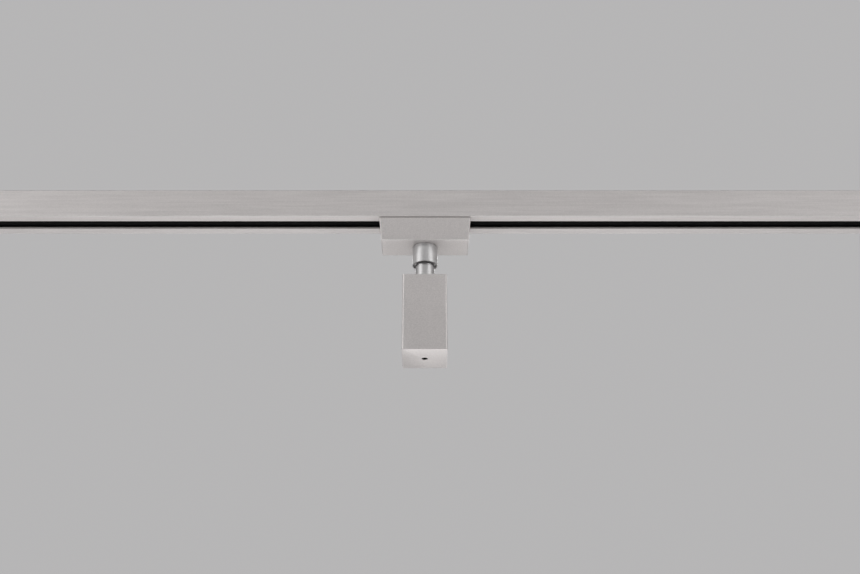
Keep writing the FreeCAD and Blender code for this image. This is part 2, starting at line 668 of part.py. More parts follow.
def swivel_bush():
    """Plain bearing bush inside the sleeve."""
    bore = upright(JOURNAL_R + RUNNING, RECESS_TOP, SPIGOT_TOP)
    return upright(BUSH_R, RECESS_TOP, SPIGOT_TOP).cut(bore)


def ear_outline():
    """Solid that the two hinge ears are cut from: a drum about the pivot and its root."""
    drum = rod(EAR_R, V(-STEM_R, 0, PIVOT_Z), 2 * STEM_R, X)
    root = block(-STEM_R, STEM_R, -EAR_R, EAR_R, PIVOT_Z, STEM_END + 1)
    return drum.fuse(root).common(upright(STEM_R, HEAD_TOP, SHOULDER))


def stem():
    """Turned stem: a journal above, a full cylinder below it, and two hinge ears."""
    r, c = STEM_R, STEM_CHAMFER
    top = JOURNAL_TOP
    groove_r = JOURNAL_R - RETAINER_GROOVE
    outline = [(STEM_END, 0), (STEM_END, r - c / 2), (STEM_END + c / 2, r), (SHOULDER - c, r),
               (SHOULDER, r - c), (SHOULDER, JOURNAL_R), (RETAINER_Z[0], JOURNAL_R),
               (RETAINER_Z[0], groove_r), (RETAINER_Z[1], groove_r), (RETAINER_Z[1], JOURNAL_R),
               (top, JOURNAL_R), (top, 0)]
    body = turned(outline, axis=Z).fuse(ear_outline()).removeSplitter()
    w, d, h = POCKET
    cuts = [block(-EAR_IN, EAR_IN, -STEM_R, STEM_R, HEAD_TOP, STEM_END)]
    cuts.append(block(-w, w, -d, d, HEAD_TOP, PIVOT_Z + h))
    cuts.append(upright(STEM_BORE_R, PIVOT_Z, top + 1))
    for side in (-1, 1):
        cuts.append(rod(PIVOT_R, V(side * EAR_IN, 0, PIVOT_Z), STEM_R, X * side))
        cuts.append(rod(PIVOT_HEAD_R, V(side * (PIVOT_OUT - PIVOT_HEAD_T), 0, PIVOT_Z), STEM_R, X * side))
    return body.cut(cuts)


def neck_ring():
    """Polished ring on the stem's shoulder, whose top is inside the sleeve's counterbore."""
    top = RECESS_TOP - NECK_CLEARANCE
    return upright(NECK_R, SHOULDER, top).cut(upright(JOURNAL_R, SHOULDER, top))


def thrust_washer():
    """Washer that carries the lamp on the spigot, with the tab that stops the swivel."""
    z0, z1 = WASHER_Z
    reach, w = STOP_TAB
    ring = upright(WASHER_R, z0, z1).fuse(block(-w, w, WASHER_R - 1, reach, z0, z1)).removeSplitter()
    return ring.cut(upright(JOURNAL_R, z0, z1))


def retaining_ring():
    """Spring clip in the groove at the top of the journal."""
    z0, z1 = RETAINER_Z
    outer, w = JOURNAL_R + RETAINER_SHOULDER, RETAINER_GAP_HALF
    ring = upright(outer, z0, z1).cut(upright(JOURNAL_R - RETAINER_GROOVE, z0, z1))
    return ring.cut(block(-w, w, -outer, 0, z0, z1))


def stem_lead():
    """Two-core lead on the swivel axis."""
    return upright(LEAD_R, PIVOT_Z + POCKET[2], JOURNAL_TOP)


def pivot_screws():
    """Two shoulder screws that are the hinge pins, one in each ear."""
    screws = []
    for side in (-1, 1):
        out = X * side
        neck = PIVOT_OUT - PIVOT_HEAD_T
        shank = rod(PIVOT_R, V(side * PIVOT_IN, 0, PIVOT_Z), neck - PIVOT_IN, out)
        head = rod(PIVOT_HEAD_R, V(side * neck, 0, PIVOT_Z), PIVOT_HEAD_T, out)
        x = sorted((side * (PIVOT_OUT - PIVOT_HEAD_T / 2), side * PIVOT_OUT))
        slot = block(x[0], x[1], -PIVOT_HEAD_R, PIVOT_HEAD_R, PIVOT_Z - DRIVER_SLOT_HALF,
                     PIVOT_Z + DRIVER_SLOT_HALF)
        screws.append(shank.fuse(head).removeSplitter().cut(slot))
    return Part.Compound(screws)


def friction_washers():
    """Two thin washers that hold the tilt where it is set."""
    washers = []
    for side in (-1, 1):
        start = V(side * EAR_IN, 0, PIVOT_Z)
        disc = rod(TONGUE_R - 0.2, start, FRICTION_T, X * -side)
        washers.append(disc.cut(rod(PIVOT_R, start, FRICTION_T, X * -side)))
    return Part.Compound(washers)


# ---------------------------------------------------------------- the lamp head

def head_knuckle():
    """Hinge tongue with the flange that bolts under the head's roof."""
    w = TONGUE_HALF
    drum = rod(TONGUE_R, V(-w, 0, PIVOT_Z), 2 * w, X)
    web = block(-w, w, -TONGUE_R, TONGUE_R, ROOF, PIVOT_Z)
    fx, fy, ft = KNUCKLE_FLANGE
    flange = block(-fx, fx, -fy, fy, ROOF - ft, ROOF)
    whole = drum.fuse([web, flange]).removeSplitter()
    cuts = [rod(PIVOT_R + RUNNING, V(-w, 0, PIVOT_Z), 2 * w, X)]
    cuts.append(upright(TONGUE_BORE_R, ROOF - ft, PIVOT_Z + TONGUE_R))
    cuts += [upright(SCREW_R, ROOF - ft, ROOF, side * KNUCKLE_SCREW_X) for side in (-1, 1)]
    return whole.cut(cuts)


def head_housing():
    """Five-sided aluminium box, open on the face that the light leaves by."""
    w, d = HEAD_W / 2, HEAD_D / 2
    body = block(-w, w, -d, d, HEAD_BOTTOM, HEAD_TOP)
    body = body.makeFillet(HEAD_ROUND, edges_along(body, Z))
    ends = [e for e in body.Edges
            if min(abs(e.CenterOfMass.z - z) for z in (HEAD_TOP, HEAD_BOTTOM)) < 1e-6]
    body = body.makeChamfer(HEAD_EDGE, ends)
    inner = w - HEAD_WALL
    body = body.cut(block(-inner, inner, -d + HEAD_WALL, d + 1, FLOOR, ROOF))
    hole = block(-TONGUE_HALF, TONGUE_HALF, -TONGUE_R, TONGUE_R, ROOF - 1, HEAD_TOP + 1)
    pilots = [upright(SCREW_R, ROOF - 1, ROOF + 1, side * KNUCKLE_SCREW_X) for side in (-1, 1)]
    return body.cut([hole, upright(HOLE_R, HEAD_BOTTOM - 1, FLOOR + 1)] + pilots)


def knuckle_screws():
    """Two screws that hold the knuckle's flange to the roof from inside."""
    low = ROOF - KNUCKLE_FLANGE[2]
    screws = []
    for side in (-1, 1):
        x = side * KNUCKLE_SCREW_X
        shank = upright(SCREW_R, low, ROOF + 1, x)
        head = upright(2 * SCREW_R, low - KNUCKLE_HEAD_T, low, x)
        screws.append(shank.fuse(head).removeSplitter())
    return Part.Compound(screws)


def lead_grommet():
    """Rubber grommet under the knuckle's bore."""
    ring = upright(GROMMET[0], GROMMET_BOTTOM, GROMMET_TOP)
    return ring.cut(upright(TONGUE_BORE_R, GROMMET_BOTTOM, GROMMET_TOP))


def heat_spreader():
    """Aluminium plate that carries the light sources, with a foot on the head's floor."""
    inner = HEAD_W / 2 - HEAD_WALL - 0.1
    back = LED_BOARD_Y[0]
    plate = block(-inner, inner, back - SPREADER_T, back, FLOOR, ROOF - SPREADER_TOP_DROP)
    foot = block(-inner, inner, back, SPREADER_FOOT_Y, FLOOR, FLOOR + SPREADER_FOOT_T)
    fins, tip, top = [], FIN_START_Y - HEAD_D / 2, ROOF - SPREADER_TOP_DROP
    for k in (-2, -1, 0, 1, 2):
        x0 = k * FIN_PITCH - FIN_T / 2
        fins.append(block(x0, x0 + FIN_T, tip, back - SPREADER_T, FLOOR, top))
    whole = plate.fuse([foot] + fins).removeSplitter()
    seat = upright(HOLE_R, FLOOR, FLOOR + CAP_SEAT)
    return whole.cut([seat, upright(CAP_SCREW_R, FLOOR, FLOOR + SPREADER_FOOT_T)])


def bottom_screw():
    """Socket cap screw, sunk in the underside, that clamps the spreader's foot."""
    face, seat = HEAD_BOTTOM + CAP_HEAD_SUNK, FLOOR + CAP_SEAT
    shank = upright(CAP_SCREW_R, seat, FLOOR + SPREADER_FOOT_T)
    screw = upright(CAP_HEAD_R, face, seat).fuse(shank).removeSplitter()
    return screw.cut(hexagon(CAP_SOCKET[0], face, face + CAP_SOCKET[1]))


def cup_centres():
    """Heights of the two light sources."""
    return [HEAD_MIDDLE + side * CUP_PITCH / 2 for side in (-1, 1)]


def led_board():
    """Metal-core board for both light sources."""
    y0, y1 = LED_BOARD_Y
    low, top = min(cup_centres()) - LED_BOARD_ENDS[0], max(cup_centres()) + LED_BOARD_ENDS[1]
    board = block(-LED_BOARD_HALF_W, LED_BOARD_HALF_W, y0, y1, low, top)
    return board.makeFillet(LED_BOARD_ROUND, edges_along(board, Y))


def led_emitters():
    """Two round light sources."""
    return Part.Compound([rod(LED_R, V(0, LED_BOARD_Y[1], z), LED_T, Y) for z in cup_centres()])


def cup_radius(y, wall=0.0):
    """Bowl-shaped inside of a reflector."""
    share = (y - CUP_Y[0]) / (CUP_Y[1] - CUP_Y[0])
    return CUP_THROAT_R + (CUP_MOUTH_R - CUP_THROAT_R) * math.sqrt(share) + wall


def reflectors():
    """Two thin spun reflectors, wide end forwards."""
    steps = 8
    depths = [CUP_Y[0] + (CUP_Y[1] - CUP_Y[0]) * (k / steps) ** 2 for k in range(steps + 1)]
    inside = [(y, cup_radius(y)) for y in depths]
    outside = [(y, cup_radius(y, CUP_WALL)) for y in reversed(depths)]
    return Part.Compound([turned(inside + outside, V(0, 0, z)) for z in cup_centres()])


def front_frame(fit, width, y0, y1):
    """A rectangular ring just inside the head's mouth."""
    w, low, top = HEAD_W / 2 - HEAD_WALL - fit, FLOOR + fit, ROOF - fit
    ring = block(-w, w, y0, y1, low, top)
    return ring.cut(block(width - w, w - width, y0, y1, low + width, top - width))


def reflector_plate():
    """Dark plate that holds the reflectors' rims."""
    w = HEAD_W / 2 - HEAD_WALL - FRONT_FIT
    y0, y1 = PLATE_Y
    plate = block(-w, w, y0, y1, FLOOR + FRONT_FIT, ROOF - FRONT_FIT)
    return plate.cut([rod(CUP_MOUTH_R, V(0, y0, z), y1 - y0, Y) for z in cup_centres()])


def front_glass():
    """Clear toughened glass over both reflectors."""
    w = HEAD_W / 2 - HEAD_WALL - FRONT_FIT
    return block(-w, w, GLASS_Y[0], GLASS_Y[1], FLOOR + FRONT_FIT, ROOF - FRONT_FIT)


def bezel_screw_places():
    """Centres of the four bezel screws."""
    inset = FRONT_FIT + BEZEL_SCREW_INSET
    w = HEAD_W / 2 - HEAD_WALL - inset
    return [(x, z) for x in (-w, w) for z in (FLOOR + inset, ROOF - inset)]


def front_bezel():
    """Frame that holds the glass in, with a pad at each corner for its screw."""
    ring = front_frame(FRONT_FIT, BEZEL_W, BEZEL_Y[0], BEZEL_Y[1])
    holes = [rod(BEZEL_SCREW_R, V(x, BEZEL_SCREW_Y, z), 2, Y) for x, z in bezel_screw_places()]
    return ring.cut(holes)


def bezel_screws():
    """Small flat screws at the bezel's corners."""
    return Part.Compound([rod(BEZEL_SCREW_R, V(x, BEZEL_SCREW_Y, z), BEZEL_SCREW_T, Y)
                          for x, z in bezel_screw_places()])


def head_lead():
    """Lead from the knuckle's grommet to the top of the light source's board."""
    low, board_top = GROMMET_BOTTOM, max(cup_centres()) + LED_BOARD_ENDS[1]
    corner = V(0, LEAD_LANE_Y, low - 3 * WIRE_R)
    path = [V(0, 0, low + WIRE_R), V(0, 0, low - 2 * WIRE_R), corner, V(0, LEAD_LANE_Y, board_top)]
    return tube_path(path, WIRE_R, 1.5 * WIRE_R)


NODES = {
    "rail_profile": rail_profile(),
    "liner_front": liner(-1),
    "liner_back": liner(1),
    "conductor_live_1": conductor(-1, GROOVE_Z[0]),
    "conductor_neutral_1": conductor(-1, GROOVE_Z[1]),
    "conductor_live_2": conductor(1, GROOVE_Z[0]),
    "conductor_neutral_2": conductor(1, GROOVE_Z[1]),
    "earth_strip": earth_strip(),
    "end_cap_right": end_cap(),
    "end_cap_left": mirrored_x(end_cap()),
    "end_cap_screws": cap_screws(),
    "feed_block": feed_block(),
    "feed_terminals": feed_terminals(),
    "feed_terminal_screws": feed_screws(),
    "adapter_housing": adapter_housing(),
    "adapter_cover": adapter_cover(),
    "cover_screws": cover_screws(),
    "contact_carrier": contact_carrier(),
    "earth_contact": earth_contact(),
    "lock_lever_left": lever(-1),
    "lock_cam_left": lock_cam(-1),
    "lock_lever_right": lever(1),
    "lock_cam_right": lock_cam(1),
    "contact_rotor": contact_rotor(),
    "rotor_contacts": rotor_contacts(),
    "driver_board": driver_board(),
    "driver_components": driver_components(),
    "terminal_block": terminal_block(),
    "terminal_screws": terminal_screws(),
    "adapter_wires": adapter_wires(),
    "circuit_selector": circuit_selector(),
    "swivel_sleeve": swivel_sleeve(),
    "sleeve_nut": sleeve_nut(),
    "swivel_bush": swivel_bush(),
    "stem": stem(),
    "neck_ring": neck_ring(),
    "thrust_washer": thrust_washer(),
    "retaining_ring": retaining_ring(),
    "stem_lead": stem_lead(),
    "pivot_screws": pivot_screws(),
    "friction_washers": friction_washers(),
    "head_knuckle": head_knuckle(),
    "head_housing": head_housing(),
    "knuckle_screws": knuckle_screws(),
    "lead_grommet": lead_grommet(),
    "heat_spreader": heat_spreader(),
    "bottom_screw": bottom_screw(),
    "led_board": led_board(),
    "led_emitters": led_emitters(),
    "reflectors": reflectors(),
    "reflector_plate": reflector_plate(),
    "front_glass": front_glass(),
    "glass_gasket": front_frame(FRONT_FIT, GASKET_W, PLATE_Y[1], GLASS_Y[0]),
    "front_bezel": front_bezel(),
    "bezel_screws": bezel_screws(),
    "head_lead": head_lead(),
}

os.makedirs("parts", exist_ok=True)
for name, shape in NODES.items():
    shape.exportStep(f"parts/{name}.step")
    print(f"{name}: {len(shape.Solids)} solids, {shape.Volume:.1f} mm3, valid {shape.isValid()}")
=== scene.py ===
import json
from math import cos, pi, radians, sin, sqrt

import bmesh
import bpy
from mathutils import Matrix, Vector


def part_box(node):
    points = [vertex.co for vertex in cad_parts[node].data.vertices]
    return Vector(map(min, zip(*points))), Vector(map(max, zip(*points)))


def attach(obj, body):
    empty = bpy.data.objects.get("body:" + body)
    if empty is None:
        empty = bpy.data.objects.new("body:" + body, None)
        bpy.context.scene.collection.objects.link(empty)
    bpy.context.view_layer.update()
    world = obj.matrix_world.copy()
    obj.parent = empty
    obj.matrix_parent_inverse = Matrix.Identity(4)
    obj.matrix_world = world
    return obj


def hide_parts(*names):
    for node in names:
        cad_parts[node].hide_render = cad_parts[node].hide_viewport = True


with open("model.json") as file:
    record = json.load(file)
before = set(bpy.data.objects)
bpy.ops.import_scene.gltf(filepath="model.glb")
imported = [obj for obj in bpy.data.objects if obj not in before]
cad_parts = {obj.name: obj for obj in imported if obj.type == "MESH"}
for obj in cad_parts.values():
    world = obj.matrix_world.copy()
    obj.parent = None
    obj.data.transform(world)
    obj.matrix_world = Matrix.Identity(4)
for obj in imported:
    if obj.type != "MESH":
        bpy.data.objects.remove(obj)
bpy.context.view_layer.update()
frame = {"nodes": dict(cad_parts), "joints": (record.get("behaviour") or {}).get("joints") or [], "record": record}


# ------------------------------------------------------------------ camera
# The viewer stands in the room in front of the track and looks up at it, a little to the right of
# the lamp. The lens is worked out from the field of view, for a frame 860 wide and 574 high.
MM = 0.001
CAMERA_PLACE = Vector((4.7, -829, -489)) * MM
CAMERA_PITCH = radians(25.53)
SENSOR_WIDTH = 36.0
FRAME_WIDTH = 860
FOCAL_IN_FRAME_UNITS = 1000

camera = bpy.data.objects.new("camera", bpy.data.cameras.new("camera"))
camera.data.sensor_width = SENSOR_WIDTH
camera.data.lens = FOCAL_IN_FRAME_UNITS / FRAME_WIDTH * SENSOR_WIDTH
camera.data.clip_start = 0.01
camera.location = CAMERA_PLACE
camera.rotation_euler = (pi / 2 + CAMERA_PITCH, 0, 0)
bpy.context.scene.collection.objects.link(camera)
bpy.context.scene.camera = camera
bpy.context.scene.view_settings.view_transform = "Standard"


# ------------------------------------------------------------------ studio
# A pale floor far below the ceiling-hung track, a large soft box on each side, and four smaller soft
# lights above and below. The floor and the surround look pale, and the room that metal mirrors is dim.
FLOOR_DROP = 1.9
SURROUND = (0.47, 0.465, 0.468, 1)
DIM_ROOM = (0.02, 0.02, 0.0205, 1)
FLOOR_GLOW = (0.4, 0.395, 0.398, 1)
BOX_TURN = radians(57)
BOX_REACH = 2.6
BOX_HEIGHT = 0.9
BOX_SIZE = (1.9, 3.4)
BOX_WATTS = {-1: 50, 1: 43}

world = bpy.data.worlds.new("surround")
world.use_nodes = True
sky = world.node_tree
seen = sky.nodes.new("ShaderNodeLightPath")
shades = sky.nodes.new("ShaderNodeMix")
shades.data_type = "RGBA"
shades.inputs["A"].default_value = DIM_ROOM
shades.inputs["B"].default_value = SURROUND
sky.links.new(seen.outputs["Is Camera Ray"], shades.inputs["Factor"])
sky.links.new(shades.outputs["Result"], sky.nodes["Background"].inputs["Color"])
bpy.context.scene.world = world

bpy.ops.object.select_all(action="DESELECT")
bpy.ops.mesh.primitive_plane_add(size=60, location=(0, 0, -FLOOR_DROP))
floor = bpy.context.object
floor.name = "floor"
floor_paint = bpy.data.materials.new("pale floor")
floor_paint.use_nodes = True
tree = floor_paint.node_tree
shader = tree.nodes["Principled BSDF"]
shader.inputs["Base Color"].default_value = (0.88, 0.88, 0.88, 1)
shader.inputs["Roughness"].default_value = 0.8
shader.inputs["Emission Color"].default_value = FLOOR_GLOW
seen = tree.nodes.new("ShaderNodeLightPath")
tree.links.new(seen.outputs["Is Camera Ray"], shader.inputs["Emission Strength"])
floor.data.materials.append(floor_paint)


def add_light(name, place, aim, size, watts):
    """A rectangular soft light that faces a point."""
    lamp = bpy.data.lights.new(name, "AREA")
    lamp.shape = "RECTANGLE"
    lamp.size, lamp.size_y = size
    lamp.energy = watts
    holder = bpy.data.objects.new(name, lamp)
    holder.location = place
    holder.rotation_euler = (Vector(aim) - Vector(place)).to_track_quat("-Z", "Y").to_euler()
    holder.visible_camera = False
    bpy.context.scene.collection.objects.link(holder)


for side, watts in BOX_WATTS.items():
    place = (side * BOX_REACH * sin(BOX_TURN), -BOX_REACH * cos(BOX_TURN), BOX_HEIGHT)
    add_light("soft box", place, aim=(0, 0, BOX_HEIGHT), size=BOX_SIZE, watts=watts)
add_light("low light", (0, -0.3, -1.8), aim=(0, 0, 0), size=(3.4, 1.0), watts=26)
add_light("low back light", (0, 1.2, -1.6), aim=(0, 0, 0), size=(1.8, 1.2), watts=10)
add_light("high front light", (0, -2.2, 2.2), aim=(0, 0, 0), size=(3.0, 1.0), watts=19)
add_light("high back light", (0, 2.0, 1.3), aim=(0, 0, -0.1), size=(2.0, 1.2), watts=30)


# ------------------------------------------------------------------ the track's body
# One aluminium extrusion: a square channel with a slot along its underside, drilled for two ceiling
# screws and the supply cable. It is satin anodised, its long outer corners are slightly chamfered, and
# two shallow lines along its top guide the drill.
RAIL_WALL = 1.8 * MM
SLOT_HALF = 7.25 * MM
RAIL_CHAMFER = 0.5 * MM
TOP_CHAMFER = 0.9 * MM
CEILING_LINE_Y = 9 * MM
CEILING_LINE_HALF = 0.6 * MM
CEILING_LINE_DEPTH = 0.4 * MM


def only(piece):
    """Nothing but this piece is selected."""
    bpy.ops.object.select_all(action="DESELECT")
    piece.select_set(True)
    bpy.context.view_layer.objects.active = piece


def named(name):
    """Name the piece just added and put its place into its mesh."""
    piece = bpy.context.object
    piece.name = piece.data.name = name
    only(piece)
    bpy.ops.object.transform_apply(location=True, rotation=True, scale=True)
    return piece


def add_block(name, low, high):
    """A block between two corners."""
    low, high = Vector(low), Vector(high)
    bpy.ops.object.select_all(action="DESELECT")
    bpy.ops.mesh.primitive_cube_add(size=1, location=(low + high) / 2)
    bpy.context.object.scale = high - low
    return named(name)


def add_drum(name, radius, start, end, sides=64):
    """A round bar between two points."""
    start, end = Vector(start), Vector(end)
    bpy.ops.object.select_all(action="DESELECT")
    bpy.ops.mesh.primitive_cylinder_add(vertices=sides, radius=radius, depth=(end - start).length,
                                        location=(start + end) / 2,
                                        rotation=(end - start).to_track_quat("Z", "Y").to_euler())
    return named(name)


def edit(piece):
    """Open a piece in edit mode with nothing picked."""
    only(piece)
    bpy.ops.object.mode_set(mode="EDIT")
    bpy.ops.mesh.select_all(action="DESELECT")


def leave():
    """Back to object mode."""
    bpy.ops.object.mode_set(mode="OBJECT")


def middle(item):
    """Where the middle of a corner, edge or face is."""
    if isinstance(item, bmesh.types.BMVert):
        return item.co
    return sum((v.co for v in item.verts), Vector()) / len(item.verts)


def pick(piece, kind, wanted):
    """Pick the faces, edges or verts that pass a test."""
    bpy.ops.mesh.select_mode(type={"faces": "FACE", "edges": "EDGE", "verts": "VERT"}[kind])
    bpy.ops.mesh.select_all(action="DESELECT")
    mesh = bmesh.from_edit_mesh(piece.data)
    for item in getattr(mesh, kind):
        if wanted(item):
            item.select_set(True)
    bmesh.update_edit_mesh(piece.data)


def slice_faces(piece, wanted, point, normal):
    """Cut the faces that pass a test along a plane."""
    pick(piece, "faces", wanted)
    bpy.ops.mesh.bisect(plane_co=point, plane_no=normal)


def runs_along(edge, axis):
    """Whether an edge runs along an axis."""
    along = (edge.verts[1].co - edge.verts[0].co).normalized()
    return abs(along[axis]) > 0.999


def work(piece, kind, **settings):
    """Apply one modifier."""
    only(piece)
    modifier = piece.modifiers.new(kind.lower(), kind)
    for name, value in settings.items():
        setattr(modifier, name, value)
    bpy.ops.object.modifier_apply(modifier=modifier.name)


def drill(piece, *cutters):
    """Take other shapes out of a piece."""
    for cutter in cutters:
        work(piece, "BOOLEAN", object=cutter, operation="DIFFERENCE", solver="EXACT")
        bpy.data.objects.remove(cutter)


def weld(piece, *others):
    """Make other shapes one with a piece."""
    for other in others:
        work(piece, "BOOLEAN", object=other, operation="UNION", solver="EXACT")
        bpy.data.objects.remove(other)


def break_edges(piece, width, segments=3, angle=35):
    """Round every sharp edge a little and shade the piece smooth between them."""
    work(piece, "BEVEL", width=width, segments=segments, limit_method="ANGLE", angle_limit=radians(angle),
         use_clamp_overlap=True)
    only(piece)
    bpy.ops.object.shade_smooth_by_angle(angle=radians(angle))
    work(piece, "WEIGHTED_NORMAL", keep_sharp=True)


rail_low, rail_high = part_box("rail_profile")
rail = add_block("track_body", rail_low, rail_high)
edit(rail)
pick(rail, "faces", lambda f: abs(f.normal.x) > 0.9)
bpy.ops.mesh.delete(type="FACE")
for y in (-SLOT_HALF, SLOT_HALF):
    slice_faces(rail, lambda f: f.normal.z < -0.9, (0, y, 0), (0, 1, 0))
pick(rail, "faces", lambda f: f.normal.z < -0.9 and abs(middle(f).y) < SLOT_HALF)
bpy.ops.mesh.delete(type="FACE")
pick(rail, "edges", lambda e: runs_along(e, 0) and middle(e).z < rail_low.z + MM
     and abs(middle(e).y) > rail_high.y - MM)
bpy.ops.mesh.bevel(offset=RAIL_CHAMFER, segments=2, affect="EDGES")
pick(rail, "edges", lambda e: runs_along(e, 0) and middle(e).z > rail_high.z - MM
     and abs(middle(e).y) > rail_high.y - MM)
bpy.ops.mesh.bevel(offset=TOP_CHAMFER, segments=1, affect="EDGES")
for y in (-CEILING_LINE_Y, CEILING_LINE_Y):
    for shift in (-CEILING_LINE_HALF, 0, CEILING_LINE_HALF):
        slice_faces(rail, lambda f: f.normal.z > 0.9, (0, y + shift, 0), (0, 1, 0))
pick(rail, "verts", lambda v: abs(abs(v.co.y) - CEILING_LINE_Y) < 0.1 * MM)
bpy.ops.transform.translate(value=(0, 0, -CEILING_LINE_DEPTH))
bpy.ops.mesh.select_all(action="SELECT")
bpy.ops.mesh.normals_make_consistent(inside=False)
leave()
work(rail, "SOLIDIFY", thickness=RAIL_WALL, offset=-1, use_even_offset=True)

mounts = {mount["name"]: mount for mount in frame["record"]["mounts"]}
screw_x = mounts["ceiling_screws"]["dims"]["spacing_x_mm"] * MM / 2
screw_r = mounts["ceiling_screws"]["dims"]["hole_r_mm"] * MM
inlet_x = mounts["cable_inlet"]["pos_m"][0]
inlet_r = mounts["cable_inlet"]["dims"]["r_mm"] * MM
holes = [(-screw_x, screw_r), (screw_x, screw_r), (inlet_x, inlet_r)]
drill(rail, *[add_drum("hole", r, (x, 0, -2 * RAIL_WALL), (x, 0, 2 * RAIL_WALL), 48) for x, r in holes])
break_edges(rail, 0.25 * MM, 2)


def new_effect(name, inputs, outputs):
    """An empty group of shader nodes with named inputs and outputs."""
    group = bpy.data.node_groups.new(name, "ShaderNodeTree")
    for label, value in inputs.items():
        socket = group.interface.new_socket(label, in_out="INPUT", socket_type="NodeSocketFloat")
        socket.default_value = value
    for label in outputs:
        group.interface.new_socket(label, in_out="OUTPUT", socket_type="NodeSocketFloat")
    return group, group.nodes.new("NodeGroupInput"), group.nodes.new("NodeGroupOutput")


# Fine etched grain: tiny pits at one scale over faint clouds at a larger one.
grain, grain_in, grain_out = new_effect("etched grain", {"Scale": 900.0}, ["Speckle", "Cloud"])
where = grain.nodes.new("ShaderNodeTexCoord")
pits = grain.nodes.new("ShaderNodeTexNoise")
pits.inputs["Detail"].default_value = 4
pits.inputs["Roughness"].default_value = 0.75
clouds = grain.nodes.new("ShaderNodeTexNoise")
clouds.inputs["Scale"].default_value = 38
clouds.inputs["Detail"].default_value = 3
grain.links.new(grain_in.outputs["Scale"], pits.inputs["Scale"])
grain.links.new(where.outputs["Object"], pits.inputs["Vector"])
grain.links.new(where.outputs["Object"], clouds.inputs["Vector"])
grain.links.new(pits.outputs["Fac"], grain_out.inputs["Speckle"])
grain.links.new(clouds.outputs["Fac"], grain_out.inputs["Cloud"])

# Drawn lines: long thin streaks along one axis, as an extrusion or a lathe leaves them.
streaks, streaks_in, streaks_out = new_effect(
    "drawn lines", {"Along X": 8.0, "Along Y": 900.0, "Along Z": 900.0}, ["Line"])
where = streaks.nodes.new("ShaderNodeTexCoord")
pulled = streaks.nodes.new("ShaderNodeVectorMath")
pulled.operation = "MULTIPLY"
pull = streaks.nodes.new("ShaderNodeCombineXYZ")
for axis in "XYZ":
    streaks.links.new(streaks_in.outputs["Along " + axis], pull.inputs[axis])
lines = streaks.nodes.new("ShaderNodeTexNoise")
lines.inputs["Scale"].default_value = 1
lines.inputs["Detail"].default_value = 3
streaks.links.new(where.outputs["Object"], pulled.inputs[0])
streaks.links.new(pull.outputs["Vector"], pulled.inputs[1])
streaks.links.new(pulled.outputs["Vector"], lines.inputs["Vector"])
streaks.links.new(lines.outputs["Fac"], streaks_out.inputs["Line"])


def new_finish(name, roughness, metallic=0.0, **constants):
    """A material with its shader, and the constants that are the same all over."""
    material = bpy.data.materials.new(name)
    material.use_nodes = True
    shader = material.node_tree.nodes["Principled BSDF"]
    shader.inputs["Roughness"].default_value = roughness
    shader.inputs["Metallic"].default_value = metallic
    for label, value in constants.items():
        shader.inputs[label.replace("_", " ")].default_value = value
    return material, material.node_tree, shader


def use_effect(tree, group, **values):
    """Place a shared effect in a material with this material's own values."""
    node = tree.nodes.new("ShaderNodeGroup")
    node.node_tree = group
    for label, value in values.items():
        node.inputs[label.replace("_", " ")].default_value = value
    return node


def vary_colour(tree, shader, mask, dark, light):
    """Base colour between two shades, by a mask."""
    mix = tree.nodes.new("ShaderNodeMix")
    mix.data_type = "RGBA"
    mix.inputs["A"].default_value = (*dark, 1)
    mix.inputs["B"].default_value = (*light, 1)
    tree.links.new(mask, mix.inputs["Factor"])
    tree.links.new(mix.outputs["Result"], shader.inputs["Base Color"])


def vary_gloss(tree, shader, mask, smooth, rough):
    """Roughness between two values, by a mask."""
    spread = tree.nodes.new("ShaderNodeMapRange")
    spread.inputs["From Min"].default_value = 0.25
    spread.inputs["From Max"].default_value = 0.75
    spread.inputs["To Min"].default_value = smooth
    spread.inputs["To Max"].default_value = rough
    tree.links.new(mask, spread.inputs["Value"])
    tree.links.new(spread.outputs["Result"], shader.inputs["Roughness"])


def raise_surface(tree, shader, height, strength, distance=0.05 * MM):
    """Relief from a height, through a bump."""
    bump = tree.nodes.new("ShaderNodeBump")
    bump.inputs["Strength"].default_value = strength
    bump.inputs["Distance"].default_value = distance
    tree.links.new(height, bump.inputs["Height"])
    tree.links.new(bump.outputs["Normal"], shader.inputs["Normal"])


def dress(piece, material):
    """Give a piece one material."""
    piece.data.materials.clear()
    piece.data.materials.append(material)


extruded, tree, shader = new_finish("satin extrusion", 0.5, 0.25)
pattern = use_effect(tree, grain, Scale=700.0)
lines = use_effect(tree, streaks, Along_X=18.0, Along_Y=420.0, Along_Z=420.0)
blend_masks = tree.nodes.new("ShaderNodeMath")
blend_masks.operation = "MULTIPLY_ADD"
blend_masks.inputs[1].default_value = 0.5
half_lines = tree.nodes.new("ShaderNodeMath")
half_lines.operation = "MULTIPLY"
half_lines.inputs[1].default_value = 0.5
tree.links.new(lines.outputs["Line"], half_lines.inputs[0])
tree.links.new(pattern.outputs["Speckle"], blend_masks.inputs[0])
tree.links.new(half_lines.outputs["Value"], blend_masks.inputs[2])
vary_colour(tree, shader, blend_masks.outputs["Value"], (0.38, 0.36, 0.355), (0.71, 0.675, 0.665))
vary_gloss(tree, shader, pattern.outputs["Cloud"], 0.46, 0.54)
raise_surface(tree, shader, blend_masks.outputs["Value"], 0.25, 0.03 * MM)
dress(rail, extruded)
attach(rail, "rail")
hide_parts("rail_profile")


# ------------------------------------------------------------------ insulating liners
# Two black plastic strips slid into the channel from its end. Each has two grooves with rounded lips,
# and the copper conductors lie at the bottom of them.
GROOVE_HEIGHTS = (-9 * MM, -17 * MM)
GROOVE_HALF = 1.7 * MM
GROOVE_BACK_Y = 13.2 * MM
FOOT_Y = 13.5 * MM
LINER_BOTTOM = -22.4 * MM

